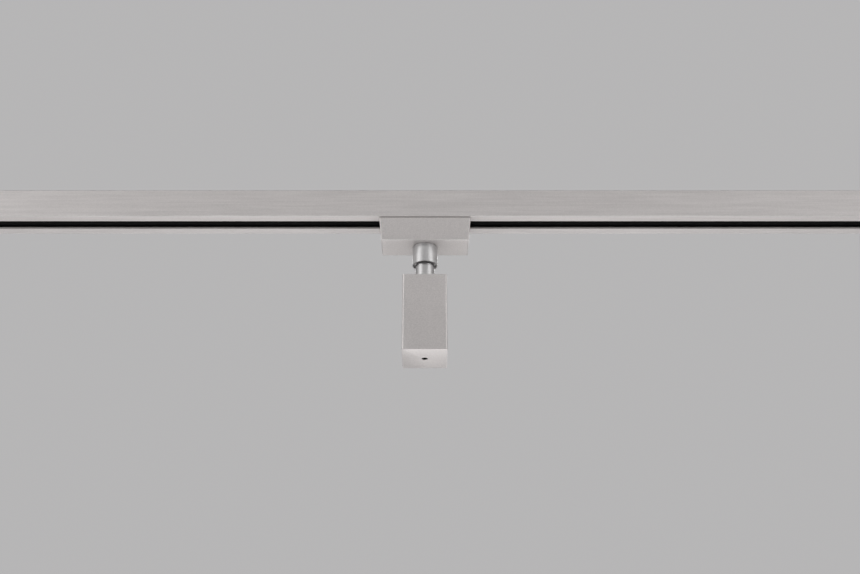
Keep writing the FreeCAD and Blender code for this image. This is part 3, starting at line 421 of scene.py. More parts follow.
black_pvc, tree, shader = new_finish("black liner plastic", 0.5)
pattern = use_effect(tree, grain, Scale=1500.0)
lines = use_effect(tree, streaks, Along_X=5.0, Along_Y=1200.0, Along_Z=1200.0)
vary_colour(tree, shader, lines.outputs["Line"], (0.008, 0.008, 0.009), (0.02, 0.02, 0.021))
vary_gloss(tree, shader, pattern.outputs["Speckle"], 0.42, 0.6)
raise_surface(tree, shader, lines.outputs["Line"], 0.2)

for node, side in (("liner_front", -1), ("liner_back", 1)):
    low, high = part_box(node)
    inner_y = side * min(abs(low.y), abs(high.y))
    outer_y = side * max(abs(low.y), abs(high.y))
    strip = add_block(node + "_strip", (low.x, min(inner_y, outer_y), LINER_BOTTOM),
                      (high.x, max(inner_y, outer_y), high.z))
    edit(strip)
    for z in GROOVE_HEIGHTS:
        for edge in (-GROOVE_HALF, GROOVE_HALF):
            slice_faces(strip, lambda f: f.normal.y * side < -0.9, (0, 0, z + edge), (0, 0, 1))
    pick(strip, "faces", lambda f: f.normal.y * side < -0.9
         and any(abs(middle(f).z - z) < GROOVE_HALF / 2 for z in GROOVE_HEIGHTS))
    bpy.ops.mesh.extrude_region_move(
        TRANSFORM_OT_translate={"value": (0, side * GROOVE_BACK_Y - inner_y, 0)})
    slice_faces(strip, lambda f: f.normal.z < -0.9 and middle(f).z < LINER_BOTTOM + MM,
                (0, side * FOOT_Y, 0), (0, 1, 0))
    pick(strip, "faces", lambda f: f.normal.z < -0.9 and middle(f).z < LINER_BOTTOM + MM
         and abs(middle(f).y) > FOOT_Y)
    bpy.ops.mesh.extrude_region_move(TRANSFORM_OT_translate={"value": (0, 0, low.z - LINER_BOTTOM)})
    leave()
    break_edges(strip, 0.3 * MM, 3)
    dress(strip, black_pvc)
    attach(strip, "rail")
    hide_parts(node)


# ------------------------------------------------------------------ copper conductors
# Flat drawn copper strips, four in the grooves and a bare one under the web for earth, with the dull
# patches that copper gets in air. The contacts of the adapter are the same metal.
copper, tree, shader = new_finish("drawn copper", 0.3, 1.0)
pattern = use_effect(tree, grain, Scale=260.0)
lines = use_effect(tree, streaks, Along_X=10.0, Along_Y=2500.0, Along_Z=2500.0)
vary_colour(tree, shader, pattern.outputs["Cloud"], (0.42, 0.19, 0.10), (0.86, 0.47, 0.30))
vary_gloss(tree, shader, lines.outputs["Line"], 0.22, 0.45)
raise_surface(tree, shader, lines.outputs["Line"], 0.15, 0.02 * MM)
for node in ("conductor_live_1", "conductor_neutral_1", "conductor_live_2", "conductor_neutral_2",
             "earth_strip", "rotor_contacts", "earth_contact"):
    dress(frame["nodes"][node], copper)


# ------------------------------------------------------------------ end caps
# Moulded grey plastic plates that close the track's ends. Each has a sunk panel, a plug that fills the
# slot for a few millimetres, and one screw.
PANEL_INSET = 2.2 * MM
PANEL_DEPTH = 0.35 * MM
PLATE_INNER_X = 498 * MM
PLUG_HALF = 7.1 * MM
PLUG_TOP = -2 * MM
PLUG_BOTTOM = -27.6 * MM
SEAT_RADIUS = 2.6 * MM
SEAT_DEPTH = 1.2 * MM


def plain_finish(name, roughness, metallic, scale, dark, light, gloss=None, relief=0, **constants):
    """A finish that is clouded in colour, and speckled in gloss and in relief where it has them."""
    material, tree, shader = new_finish(name, roughness, metallic, **constants)
    pattern = use_effect(tree, grain, Scale=scale)
    vary_colour(tree, shader, pattern.outputs["Cloud"], dark, light)
    if gloss:
        vary_gloss(tree, shader, pattern.outputs["Speckle"], *gloss)
    if relief:
        raise_surface(tree, shader, pattern.outputs["Speckle"], relief, 0.04 * MM)
    return material


moulded_grey = plain_finish("moulded grey plastic", 0.5, 0.0, 1800.0, (0.36, 0.352, 0.348),
                            (0.42, 0.412, 0.408), gloss=(0.42, 0.58), relief=0.3)

screw_low, screw_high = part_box("end_cap_screws")
screw_z = (screw_low.z + screw_high.z) / 2
for node, side in (("end_cap_left", -1), ("end_cap_right", 1)):
    low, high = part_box(node)
    plate_x = side * PLATE_INNER_X
    face_x = side * max(abs(low.x), abs(high.x))
    plug_x = side * min(abs(low.x), abs(high.x))
    cap = add_block(node + "_moulding", (min(plate_x, face_x), low.y, low.z),
                    (max(plate_x, face_x), high.y, high.z))
    edit(cap)
    pick(cap, "faces", lambda f: f.normal.x * side > 0.9)
    bpy.ops.mesh.inset(thickness=PANEL_INSET, depth=0)
    bpy.ops.mesh.extrude_region_move(TRANSFORM_OT_translate={"value": (-side * PANEL_DEPTH, 0, 0)})
    for y in (-PLUG_HALF, PLUG_HALF):
        slice_faces(cap, lambda f: f.normal.x * side < -0.9, (0, y, 0), (0, 1, 0))
    for z in (PLUG_TOP, PLUG_BOTTOM):
        slice_faces(cap, lambda f: f.normal.x * side < -0.9, (0, 0, z), (0, 0, 1))
    pick(cap, "faces", lambda f: f.normal.x * side < -0.9 and abs(middle(f).y) < PLUG_HALF / 2
         and PLUG_BOTTOM < middle(f).z < PLUG_TOP)
    bpy.ops.mesh.extrude_region_move(TRANSFORM_OT_translate={"value": (plug_x - plate_x, 0, 0)})
    leave()
    drill(cap, add_drum("seat", SEAT_RADIUS, (face_x - side * SEAT_DEPTH, 0, screw_z),
                        (face_x + side * MM, 0, screw_z), 48))
    break_edges(cap, 0.35 * MM, 3)
    dress(cap, moulded_grey)
    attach(cap, "rail")
    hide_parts(node)


# ------------------------------------------------------------------ cap screws and feed screws
# Small slotted screws: bright zinc steel in the end caps, brass in the feed block. Each has a domed
# head with a rounded rim and a milled slot.
DOME_RIM_SHARE = 0.35
DOME_TOP_SHARE = 0.3
DOME_RISE_SHARE = 0.08
SLOT_TOP_SHARE = 1.1
SLOT_REACH_SHARE = 1.2
HEAD_EDGE_SHARE = 0.06
CAP_SCREW_X = 498.9 * MM
CAP_SCREW_RADIUS = 2.1 * MM
CAP_SCREW_HEIGHT = 0.7 * MM
CAP_SCREW_SLOT = (0.7 * MM, 0.6 * MM)
FEED_SCREW_RADIUS = 1.8 * MM
FEED_SCREW_HEIGHT = 1.6 * MM
FEED_SCREW_SLOT = (0.6 * MM, 0.7 * MM)
FEED_SCREW_SUNK = 2 * MM
FEED_SCREW_INSET = 1.9 * MM


def add_screw(name, radius, thickness, place, outward, slot_width, slot_depth):
    """A slotted screw head whose underside stands on a place and faces outward."""
    outward = Vector(outward)
    place = Vector(place)
    head = add_drum(name, radius, place, place + outward * thickness, 48)
    edit(head)
    pick(head, "faces", lambda f: f.normal.dot(outward) > 0.9)
    bpy.ops.mesh.inset(thickness=radius * DOME_RIM_SHARE, depth=0)
    bpy.ops.mesh.inset(thickness=radius * DOME_TOP_SHARE, depth=thickness * DOME_RISE_SHARE)
    leave()
    across = outward.orthogonal().normalized()
    along = outward.cross(across)
    top = place + outward * thickness * SLOT_TOP_SHARE
    reach = along * radius * SLOT_REACH_SHARE + across * slot_width / 2
    corners = [top + reach, top - reach - outward * slot_depth]
    low = [min(a, b) for a, b in zip(*corners)]
    high = [max(a, b) for a, b in zip(*corners)]
    drill(head, add_block("slot", low, high))
    break_edges(head, radius * HEAD_EDGE_SHARE, 2)
    return head


def join_pieces(name, pieces):
    """Several like pieces as one object."""
    only(pieces[0])
    for piece in pieces[1:]:
        piece.select_set(True)
    bpy.ops.object.join()
    bpy.context.object.name = bpy.context.object.data.name = name
    return bpy.context.object


zinc, tree, shader = new_finish("zinc plated steel", 0.3, 1.0)
pattern = use_effect(tree, grain, Scale=700.0)
vary_colour(tree, shader, pattern.outputs["Cloud"], (0.52, 0.52, 0.53), (0.68, 0.68, 0.70))
vary_gloss(tree, shader, pattern.outputs["Speckle"], 0.2, 0.42)
raise_surface(tree, shader, pattern.outputs["Speckle"], 0.12, 0.02 * MM)
for node in ("lock_cam_left", "lock_cam_right", "cover_screws", "sleeve_nut", "thrust_washer",
             "retaining_ring", "knuckle_screws"):
    dress(frame["nodes"][node], zinc)

cap_heads = [add_screw("cap screw", CAP_SCREW_RADIUS, CAP_SCREW_HEIGHT, (side * CAP_SCREW_X, 0, screw_z),
                       (side, 0, 0), *CAP_SCREW_SLOT) for side in (-1, 1)]
cap_screws = join_pieces("cap_screw_heads", cap_heads)
dress(cap_screws, zinc)
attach(cap_screws, "rail")
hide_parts("end_cap_screws")

brass = plain_finish("brass", 0.3, 1.0, 500.0, (0.60, 0.42, 0.17), (0.80, 0.62, 0.30), gloss=(0.2, 0.4))
for node in ("feed_terminals", "terminal_screws"):
    dress(frame["nodes"][node], brass)

low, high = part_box("feed_terminal_screws")
feed_places = [(x, y) for x in (low.x + FEED_SCREW_INSET, high.x - FEED_SCREW_INSET)
               for y in (low.y + FEED_SCREW_INSET, high.y - FEED_SCREW_INSET)]
feed_heads = [add_screw("feed screw", FEED_SCREW_RADIUS, FEED_SCREW_HEIGHT, (x, y, low.z + FEED_SCREW_SUNK),
                        (0, 0, -1), *FEED_SCREW_SLOT) for x, y in feed_places]
feed_screws = join_pieces("feed_screw_heads", feed_heads)
dress(feed_screws, brass)
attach(feed_screws, "rail")
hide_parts("feed_terminal_screws")


# ------------------------------------------------------------------ live-end feed block
# Black moulded block in the slot at the left end. The supply cable drops into its round pocket from
# above, and four sunk screws in its underside clamp the cores.
FEED_RIM = 1.0 * MM
FEED_PANEL_DEPTH = 0.4 * MM
POCKET_RADIUS = 2.2 * MM
POCKET_DEPTH = 3.4 * MM
WELL_RADIUS = 6 * MM
WELL_FLOOR = -16 * MM

low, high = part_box("feed_block")
feed = add_block("feed_block_moulding", (low.x, -PLUG_HALF, low.z), (high.x, PLUG_HALF, high.z))
edit(feed)
pick(feed, "faces", lambda f: f.normal.z < -0.9)
bpy.ops.mesh.inset(thickness=FEED_RIM, depth=0)
bpy.ops.mesh.extrude_region_move(TRANSFORM_OT_translate={"value": (0, 0, FEED_PANEL_DEPTH)})
leave()
pockets = [add_drum("pocket", POCKET_RADIUS, (x, y, low.z - MM), (x, y, low.z + POCKET_DEPTH), 40)
           for x, y in feed_places]
well = add_drum("well", WELL_RADIUS, (inlet_x, 0, WELL_FLOOR), (inlet_x, 0, high.z + MM), 64)
drill(feed, well, *pockets)
break_edges(feed, 0.25 * MM, 2)

moulded_black = plain_finish("moulded black plastic", 0.5, 0.0, 1600.0, (0.018, 0.018, 0.019),
                             (0.034, 0.034, 0.036), gloss=(0.4, 0.6), relief=0.35)
for node in ("adapter_cover", "contact_carrier", "contact_rotor"):
    dress(frame["nodes"][node], moulded_black)
dress(feed, moulded_black)
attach(feed, "rail")
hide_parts("feed_block")


# ------------------------------------------------------------------ adapter box
# Die-cast box shell under the track, painted a satin warm grey with a fine grain: the head's grey made
# about 7% darker, and that extra darkness is painted shade. Its ends lean in towards the bottom, its edges
# are softly rounded, and its far side is slotted for levers and switch.
BOX_BOTTOM_LENGTH = 80.9 * MM
BOX_ROUND = 1.0 * MM
BOX_WALL = 1.8 * MM
LEVER_SLOT_X = 39.7 * MM
LEVER_SLOT_Z = (-34.1 * MM, -31.5 * MM)
BUTTON_SLOT_X = (15.7 * MM, 24.3 * MM)
BUTTON_SLOT_Z = (-44.3 * MM, -41.7 * MM)

low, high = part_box("adapter_housing")
box = add_block("adapter_box", low, high)
edit(box)
pick(box, "faces", lambda f: f.normal.z < -0.9)
bpy.ops.transform.resize(value=(BOX_BOTTOM_LENGTH / (high.x - low.x), 1, 1), center_override=(0, 0, low.z))
pick(box, "edges", lambda e: middle(e).z < high.z - MM)
bpy.ops.mesh.bevel(offset=BOX_ROUND, segments=5, affect="EDGES", clamp_overlap=False)
pick(box, "faces", lambda f: f.normal.z > 0.9)
bpy.ops.mesh.delete(type="FACE")


def cut_window(piece, wanted, x_range, z_range):
    """Cut a rectangular window in an upright face and open it."""
    for x in x_range:
        slice_faces(piece, wanted, (x, 0, 0), (1, 0, 0))
    for z in z_range:
        slice_faces(piece, wanted, (0, 0, z), (0, 0, 1))
    pick(piece, "faces", lambda f: wanted(f) and x_range[0] < middle(f).x < x_range[1]
         and z_range[0] < middle(f).z < z_range[1])
    bpy.ops.mesh.delete(type="FACE")


cut_window(box, lambda f: f.normal.y > 0.99, (-LEVER_SLOT_X, LEVER_SLOT_X), LEVER_SLOT_Z)
cut_window(box, lambda f: f.normal.y > 0.99, BUTTON_SLOT_X, BUTTON_SLOT_Z)
leave()
work(box, "SOLIDIFY", thickness=BOX_WALL, offset=-1, use_even_offset=True)
break_edges(box, 0.2 * MM, 2)


def new_paint(name, dark, light):
    """Satin metal paint with a fine grain, between two shades."""
    material, tree, shader = new_finish(name, 0.42, 0.4)
    pattern = use_effect(tree, grain, Scale=900.0)
    vary_colour(tree, shader, pattern.outputs["Speckle"], dark, light)
    vary_gloss(tree, shader, pattern.outputs["Cloud"], 0.39, 0.45)
    raise_surface(tree, shader, pattern.outputs["Speckle"], 0.3, 0.04 * MM)
    return material


# A darker copy of the head's paint: the difference is painted shade, not a second colour.
shaded_box_paint = new_paint("satin grey box paint", (0.41, 0.388, 0.382), (0.74, 0.702, 0.692))
dress(box, shaded_box_paint)
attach(box, "adapter")
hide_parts("adapter_housing")


# ------------------------------------------------------------------ lock levers
# Two flat black levers in the slot on the far side. A fingertip swings each one out by a quarter turn.
# The pad has three grip ribs, and a round hub joins the lever to its shaft.
ARM_TURN = radians(37)
ARM_LENGTH = 19 * MM
ARM_WIDTH = 7.5 * MM
LEVER_AXIS_X = 22.5 * MM
LEVER_TOP = -31.8 * MM
HUB_RADIUS = 6 * MM
SHAFT_RADIUS = 3.5 * MM
SHAFT_TOP = -26 * MM
PAD_REACH = (11 * MM, 21 * MM)
PAD_Y = (8.5 * MM, 15.8 * MM)
PAD_ROUND = 1.2 * MM
RIB_REACH = (13 * MM, 16 * MM, 19 * MM)
RIB_HALF = 0.5 * MM
RIB_Y = (15 * MM, 16.7 * MM)
RIB_SET_IN = 0.1 * MM
DIMPLE_RADIUS = 2 * MM
DIMPLE_DEPTH = 0.6 * MM

for node, side in (("lock_lever_left", -1), ("lock_lever_right", 1)):
    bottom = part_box(node)[0].z
    axis_x = side * LEVER_AXIS_X
    hub = add_drum(node + "_arm", HUB_RADIUS, (axis_x, 0, bottom), (axis_x, 0, LEVER_TOP), 64)
    shaft = add_drum("shaft", SHAFT_RADIUS, (axis_x, 0, LEVER_TOP - 0.2 * MM), (axis_x, 0, SHAFT_TOP), 48)
    pad_x = sorted(axis_x - side * reach for reach in PAD_REACH)
    pad = add_block("pad", (pad_x[0], PAD_Y[0], bottom), (pad_x[1], PAD_Y[1], LEVER_TOP))
    edit(pad)
    pick(pad, "edges", lambda e: runs_along(e, 2))
    bpy.ops.mesh.bevel(offset=PAD_ROUND, segments=4, affect="EDGES")
    leave()
    arm_middle = Vector((axis_x - side * cos(ARM_TURN) * ARM_LENGTH / 2, sin(ARM_TURN) * ARM_LENGTH / 2,
                         (bottom + LEVER_TOP) / 2))
    bpy.ops.object.select_all(action="DESELECT")
    bpy.ops.mesh.primitive_cube_add(size=1, location=arm_middle, rotation=(0, 0, -side * ARM_TURN))
    bpy.context.object.scale = (ARM_LENGTH, ARM_WIDTH, LEVER_TOP - bottom)
    arm = named("arm")
    ribs = [add_block("rib", (axis_x - side * reach - RIB_HALF, RIB_Y[0], bottom + RIB_SET_IN),
                      (axis_x - side * reach + RIB_HALF, RIB_Y[1], LEVER_TOP - RIB_SET_IN))
            for reach in RIB_REACH]
    weld(hub, shaft, arm, pad, *ribs)
    drill(hub, add_drum("dimple", DIMPLE_RADIUS, (axis_x, 0, bottom - MM),
                        (axis_x, 0, bottom + DIMPLE_DEPTH), 32))
    break_edges(hub, 0.18 * MM, 2)
    dress(hub, moulded_black)
    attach(hub, "lock_left" if side < 0 else "lock_right")
    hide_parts(node)


# ------------------------------------------------------------------ circuit selector
# A small black slide button with three grip grooves, in its own slot on the far side of the box.
PLATE_BACK = 1.4 * MM
THUMB_INSET_X = 2 * MM
THUMB_INSET_Z = 1 * MM
GRIP_PLACES = (2.9 * MM, 3.75 * MM, 4.6 * MM)
GRIP_WIDTH = 0.45 * MM
GRIP_DEPTH = 0.4 * MM

low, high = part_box("circuit_selector")
button = add_block("selector_button", low, (high.x, low.y + PLATE_BACK, high.z))
thumb = add_block("thumb", (low.x + THUMB_INSET_X, low.y + PLATE_BACK - 0.2 * MM, low.z + THUMB_INSET_Z),
                  (high.x - THUMB_INSET_X, high.y, high.z - THUMB_INSET_Z))
weld(button, thumb)
for shift in GRIP_PLACES:
    x = low.x + shift
    groove = add_block("groove", (x, high.y - GRIP_DEPTH, low.z), (x + GRIP_WIDTH, high.y + MM, high.z))
    drill(button, groove)
break_edges(button, 0.12 * MM, 2)
dress(button, moulded_black)
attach(button, "selector")
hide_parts("circuit_selector")


# ------------------------------------------------------------------ swivel sleeve
# A turned aluminium sleeve that stands under the box, satin anodised after a fine cut. A small groove
# under the box sheds a shadow, and the lower rim is bored out so that it clears the ring.
SLEEVE_RADIUS = 11.65 * MM
SLEEVE_RIM = 0.2 * MM
RECESS_RADIUS = 10.5 * MM
RECESS_DEPTH = 2.2 * MM
SHADOW_GROOVE = 0.6 * MM
SPIGOT_RADIUS = 8 * MM
SLEEVE_BORE = 7 * MM


def turn_up(name, rings, sides=128, tube=False):
    """A turned piece, drawn up ring by ring. A tube's last ring is joined to its first."""
    bpy.ops.object.select_all(action="DESELECT")
    bpy.ops.mesh.primitive_circle_add(vertices=sides, radius=rings[0][0], location=(0, 0, rings[0][1]))
    piece = bpy.context.object
    edit(piece)
    bpy.ops.mesh.select_mode(type="EDGE")
    bpy.ops.mesh.select_all(action="SELECT")
    for (radius, height), (next_radius, next_height) in zip(rings, rings[1:]):
        bpy.ops.mesh.extrude_edges_move(TRANSFORM_OT_translate={"value": (0, 0, next_height - height)})
        scale = next_radius / radius
        bpy.ops.transform.resize(value=(scale, scale, 1), center_override=(0, 0, next_height))
    pick(piece, "edges", lambda e: e.is_boundary)
    if tube:
        bpy.ops.mesh.bridge_edge_loops()
    else:
        bpy.ops.mesh.fill_holes(sides=0)
    bpy.ops.mesh.select_all(action="SELECT")
    bpy.ops.mesh.normals_make_consistent(inside=False)
    leave()
    return named(name)


low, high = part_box("swivel_sleeve")
box_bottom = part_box("adapter_housing")[0].z
recess_top = low.z + RECESS_DEPTH
sleeve = turn_up("sleeve_turning", [
    (RECESS_RADIUS, recess_top), (RECESS_RADIUS, low.z + SLEEVE_RIM), (RECESS_RADIUS + SLEEVE_RIM, low.z),
    (SLEEVE_RADIUS - SLEEVE_RIM, low.z), (SLEEVE_RADIUS, low.z + SLEEVE_RIM),
    (SLEEVE_RADIUS, box_bottom - 1.4 * SHADOW_GROOVE),
    (SLEEVE_RADIUS - SHADOW_GROOVE, box_bottom - SHADOW_GROOVE), (SLEEVE_RADIUS - SHADOW_GROOVE, box_bottom),
    (SPIGOT_RADIUS, box_bottom), (SPIGOT_RADIUS, high.z), (SLEEVE_BORE, high.z), (SLEEVE_BORE, recess_top)],
    tube=True)
break_edges(sleeve, 0.06 * MM, 2, 25)

turned_metal, tree, shader = new_finish("turned satin aluminium", 0.38, 0.45)
pattern = use_effect(tree, grain, Scale=1300.0)
lines = use_effect(tree, streaks, Along_X=60.0, Along_Y=60.0, Along_Z=5200.0)
vary_colour(tree, shader, lines.outputs["Line"], (0.46, 0.455, 0.455), (0.65, 0.64, 0.64))
vary_gloss(tree, shader, pattern.outputs["Speckle"], 0.33, 0.42)
raise_surface(tree, shader, lines.outputs["Line"], 0.18, 0.02 * MM)
dress(sleeve, turned_metal)
dress(frame["nodes"]["heat_spreader"], turned_metal)
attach(sleeve, "adapter")
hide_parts("swivel_sleeve")


# ------------------------------------------------------------------ polished neck ring
# A bright chromed ring that stands on the stem's shoulder, its top inside the sleeve's rim, and turns
# with the stem. It mirrors the dark inside of the sleeve and catches the two soft boxes.
JOURNAL_RADIUS = 5.5 * MM
RING_RIM = 0.12 * MM
low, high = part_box("neck_ring")
ring = turn_up("neck_ring_turning", [
    (JOURNAL_RADIUS, low.z), (high.x - RING_RIM, low.z), (high.x, low.z + RING_RIM),
    (high.x, high.z - RING_RIM), (high.x - RING_RIM, high.z), (JOURNAL_RADIUS, high.z)], tube=True)
break_edges(ring, 0.04 * MM, 2)
chrome = plain_finish("polished chrome", 0.2, 1.0, 400.0, (0.78, 0.78, 0.79), (0.88, 0.88, 0.89),
                      gloss=(0.17, 0.24))
dress(ring, chrome)
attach(ring, "stem")
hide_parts("neck_ring")


# ------------------------------------------------------------------ stem
# A turned aluminium stem with a bright chamfer on its shoulder. Its foot is milled into two rounded
# hinge ears, with a blind pocket between them in which the lamp head's tongue swings.
STEM_RADIUS = 8.8 * MM
STEM_RIM = 0.5 * MM
EAR_RADIUS = 5.9 * MM
STEM_FOOT_ROUND = 0.3 * MM
EAR_INNER = 4 * MM
EAR_ROOT = 0.5 * MM
SWING_HALF = 4.4 * MM
SWING_HEIGHT = 3.6 * MM
STEM_BORE = 2.5 * MM
PIN_HOLE_RADIUS = 1.5 * MM
PIN_SEAT_RADIUS = 2.6 * MM
PIN_SEAT_X = 7.1 * MM
PAST_STEM = 10 * MM

joints = {joint["name"]: joint for joint in frame["joints"]}
pivot = Vector(joints["tilt"]["pos_m"])


def hinge_line(reach):
    """The two ends of a bar that lies along the hinge, centred on the pivot."""
    return pivot - Vector((reach, 0, 0)), pivot + Vector((reach, 0, 0))


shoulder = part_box("neck_ring")[0].z
stem_end = pivot.z + EAR_ROOT
journal_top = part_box("stem")[1].z
stem = turn_up("stem_turning", [
    (STEM_RADIUS - STEM_FOOT_ROUND, stem_end), (STEM_RADIUS, stem_end + STEM_FOOT_ROUND),
    (STEM_RADIUS, shoulder - STEM_RIM), (STEM_RADIUS - STEM_RIM, shoulder),
    (JOURNAL_RADIUS, shoulder), (JOURNAL_RADIUS, journal_top)])
ears = add_drum("ears", EAR_RADIUS, *hinge_line(PAST_STEM), 96)
root = add_block("root", (-PAST_STEM, -EAR_RADIUS, pivot.z), (PAST_STEM, EAR_RADIUS, stem_end + MM))
round_bar = add_drum("round bar", STEM_RADIUS - 0.02 * MM, (0, 0, pivot.z - PAST_STEM),
                     (0, 0, stem_end + 2 * MM), 128)
weld(ears, root)
work(ears, "BOOLEAN", object=round_bar, operation="INTERSECT", solver="EXACT")
bpy.data.objects.remove(round_bar)
weld(stem, ears)
gap = add_block("gap", (-EAR_INNER, -PAST_STEM, pivot.z - PAST_STEM), (EAR_INNER, PAST_STEM, stem_end))
pocket = add_block("pocket", (-EAR_INNER - 0.05 * MM, -SWING_HALF, pivot.z - PAST_STEM),
                   (EAR_INNER + 0.05 * MM, SWING_HALF, pivot.z + SWING_HEIGHT))
bore = add_drum("bore", STEM_BORE, (0, 0, pivot.z), (0, 0, journal_top + MM), 48)
pin_hole = add_drum("pin hole", PIN_HOLE_RADIUS, *hinge_line(2 * PAST_STEM), 48)
pin_seats = [add_drum("seat", PIN_SEAT_RADIUS, pivot + Vector((side * PIN_SEAT_X, 0, 0)),
                      pivot + Vector((side * 1.2 * PAST_STEM, 0, 0)), 64) for side in (-1, 1)]
drill(stem, gap, pocket, bore, pin_hole, *pin_seats)
break_edges(stem, 0.12 * MM, 2, 30)
dress(stem, turned_metal)
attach(stem, "stem")
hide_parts("stem")


# ------------------------------------------------------------------ hinge pins and washers
# Two black shoulder screws, one in each ear, with a slot for a small driver. Thin acetal washers stand
# between the ears and the tongue and give the tilt its drag.
PIN_RADIUS = 1.48 * MM
PIN_INNER_X = 1.7 * MM
PIN_HEAD_RADIUS = 2.5 * MM
PIN_HEAD_HEIGHT = 1.1 * MM
PIN_SLOT = (0.6 * MM, 0.6 * MM)

black_oxide = plain_finish("black oxide steel", 0.35, 0.9, 900.0, (0.020, 0.020, 0.022),
                           (0.045, 0.045, 0.048), gloss=(0.25, 0.45))
pins = []
for side in (-1, 1):
    out = Vector((side, 0, 0))
    seat = pivot + out * PIN_SEAT_X
    pins.append(add_drum("pin", PIN_RADIUS, pivot + out * PIN_INNER_X, seat + out * 0.1 * MM, 48))
    pins.append(add_screw("pin head", PIN_HEAD_RADIUS, PIN_HEAD_HEIGHT, seat, out, *PIN_SLOT))
hinge_pins = join_pieces("hinge_pins", pins)
dress(hinge_pins, black_oxide)
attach(hinge_pins, "stem")
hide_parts("pivot_screws")

acetal = plain_finish("acetal", 0.4, 0.0, 600.0, (0.66, 0.63, 0.55), (0.74, 0.72, 0.64))
for node in ("friction_washers", "swivel_bush", "terminal_block"):
    dress(frame["nodes"][node], acetal)


# ------------------------------------------------------------------ head knuckle
# A milled steel tongue that hangs on the hinge pins. Its flange is bolted under the head's roof.
HEAD_WALL = 1.6 * MM
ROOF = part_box("head_housing")[1].z - HEAD_WALL
TONGUE_HALF = 3.7 * MM
TONGUE_RADIUS = 3.2 * MM
FLANGE_HALF_X = 10 * MM
FLANGE_HALF_Y = 8 * MM
FLANGE_THICKNESS = 3 * MM
FLANGE_ROUND = 2 * MM
CROSS_BORE = 1.55 * MM
LEAD_BORE = 1.3 * MM

knuckle = add_block("knuckle_milling", (-TONGUE_HALF, -TONGUE_RADIUS, ROOF - 0.1 * MM),
                    (TONGUE_HALF, TONGUE_RADIUS, pivot.z))
crown = add_drum("crown", TONGUE_RADIUS, *hinge_line(TONGUE_HALF), 64)
flange = add_block("flange", (-FLANGE_HALF_X, -FLANGE_HALF_Y, ROOF - FLANGE_THICKNESS),
                   (FLANGE_HALF_X, FLANGE_HALF_Y, ROOF))
edit(flange)
pick(flange, "edges", lambda e: runs_along(e, 2))
bpy.ops.mesh.bevel(offset=FLANGE_ROUND, segments=5, affect="EDGES")
leave()
weld(knuckle, crown, flange)
drill(knuckle, add_drum("cross bore", CROSS_BORE, *hinge_line(2 * TONGUE_HALF), 48),
      add_drum("lead bore", LEAD_BORE, (0, 0, ROOF - 2 * FLANGE_THICKNESS),
               (0, 0, pivot.z + 2 * TONGUE_RADIUS), 40))
break_edges(knuckle, 0.15 * MM, 2)
dress(knuckle, zinc)
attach(knuckle, "head")
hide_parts("head_knuckle")


# ------------------------------------------------------------------ lamp head housing
# A deep aluminium box, open on its far face, in the satin grey of which the adapter's copy is made darker
# with painted shade. Its near upright corners are rounded, its roof is slotted for the tongue, and one
# hole is drilled in its floor.
HEAD_ROUND = 1.7 * MM
MOUTH_ROUND = 1.0 * MM
HOLE_RADIUS = 2.85 * MM
TONGUE_PLAY = 0.15 * MM

low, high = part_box("head_housing")
head = add_block("head_shell", low, high)
edit(head)
pick(head, "edges", lambda e: runs_along(e, 2) and middle(e).y < 0)
bpy.ops.mesh.bevel(offset=HEAD_ROUND, segments=8, affect="EDGES")
pick(head, "faces", lambda f: f.normal.y > 0.9)
bpy.ops.mesh.delete(type="FACE")
bpy.ops.mesh.select_all(action="SELECT")
bpy.ops.mesh.normals_make_consistent(inside=False)
leave()
work(head, "SOLIDIFY", thickness=HEAD_WALL, offset=-1, use_even_offset=True)
edit(head)
pick(head, "edges", lambda e: runs_along(e, 2) and middle(e).y > high.y - 0.1 * MM
     and abs(middle(e).x) > high.x - 0.1 * MM)
bpy.ops.mesh.bevel(offset=MOUTH_ROUND, segments=4, affect="EDGES")
leave()
slot_x = TONGUE_HALF + TONGUE_PLAY
slot_y = TONGUE_RADIUS + TONGUE_PLAY
drill(head, add_block("tongue slot", (-slot_x, -slot_y, ROOF - MM), (slot_x, slot_y, high.z + MM)))
break_edges(head, 0.3 * MM, 3)
drill(head, add_drum("floor hole", HOLE_RADIUS, (0, 0, low.z - MM), (0, 0, low.z + HEAD_WALL + MM), 64))
head_paint = new_paint("satin grey head paint", (0.44, 0.417, 0.41), (0.79, 0.749, 0.739))
dress(head, head_paint)
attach(head, "head")
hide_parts("head_housing")


# ------------------------------------------------------------------ sunk screw in the head's floor
# A dull black socket cap screw that clamps the heat spreader's foot. Its head fills the hole in the floor almost
# to the surface, with a deep hexagonal socket for the key. Its near-black, barely shiny colour is partly the
# screw's black finish and partly painted shade for the dark inside of the hole.
CAP_HEAD_RADIUS = 2.75 * MM
CAP_HEAD_TOP = 3.0 * MM
CAP_SHANK_RADIUS = 1.5 * MM
CAP_RIM = 0.2 * MM
SOCKET_CORNER_RADIUS = 1.44 * MM
SOCKET_DEPTH = 1.5 * MM

low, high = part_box("bottom_screw")
neck_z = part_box("head_housing")[0].z + CAP_HEAD_TOP
floor_screw = turn_up("floor_screw", [
    (CAP_HEAD_RADIUS - CAP_RIM, low.z), (CAP_HEAD_RADIUS, low.z + CAP_RIM), (CAP_HEAD_RADIUS, neck_z),
    (CAP_SHANK_RADIUS, neck_z), (CAP_SHANK_RADIUS, high.z)], sides=64)
socket = add_drum("socket", SOCKET_CORNER_RADIUS, (0, 0, low.z - MM), (0, 0, low.z + SOCKET_DEPTH), 6)
drill(floor_screw, socket)
break_edges(floor_screw, 0.05 * MM, 2, 25)
# Near-black and barely shiny: partly the screw's own black, partly painted shade of the hole's inside.
black_screw_and_hole_shade = plain_finish("dull black steel", 0.75, 0.0, 1500.0, (0.004, 0.004, 0.004),
                          (0.008, 0.008, 0.008), gloss=(0.68, 0.82), Specular_IOR_Level=0.15)
dress(floor_screw, black_screw_and_hole_shade)
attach(floor_screw, "head")
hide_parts("bottom_screw")


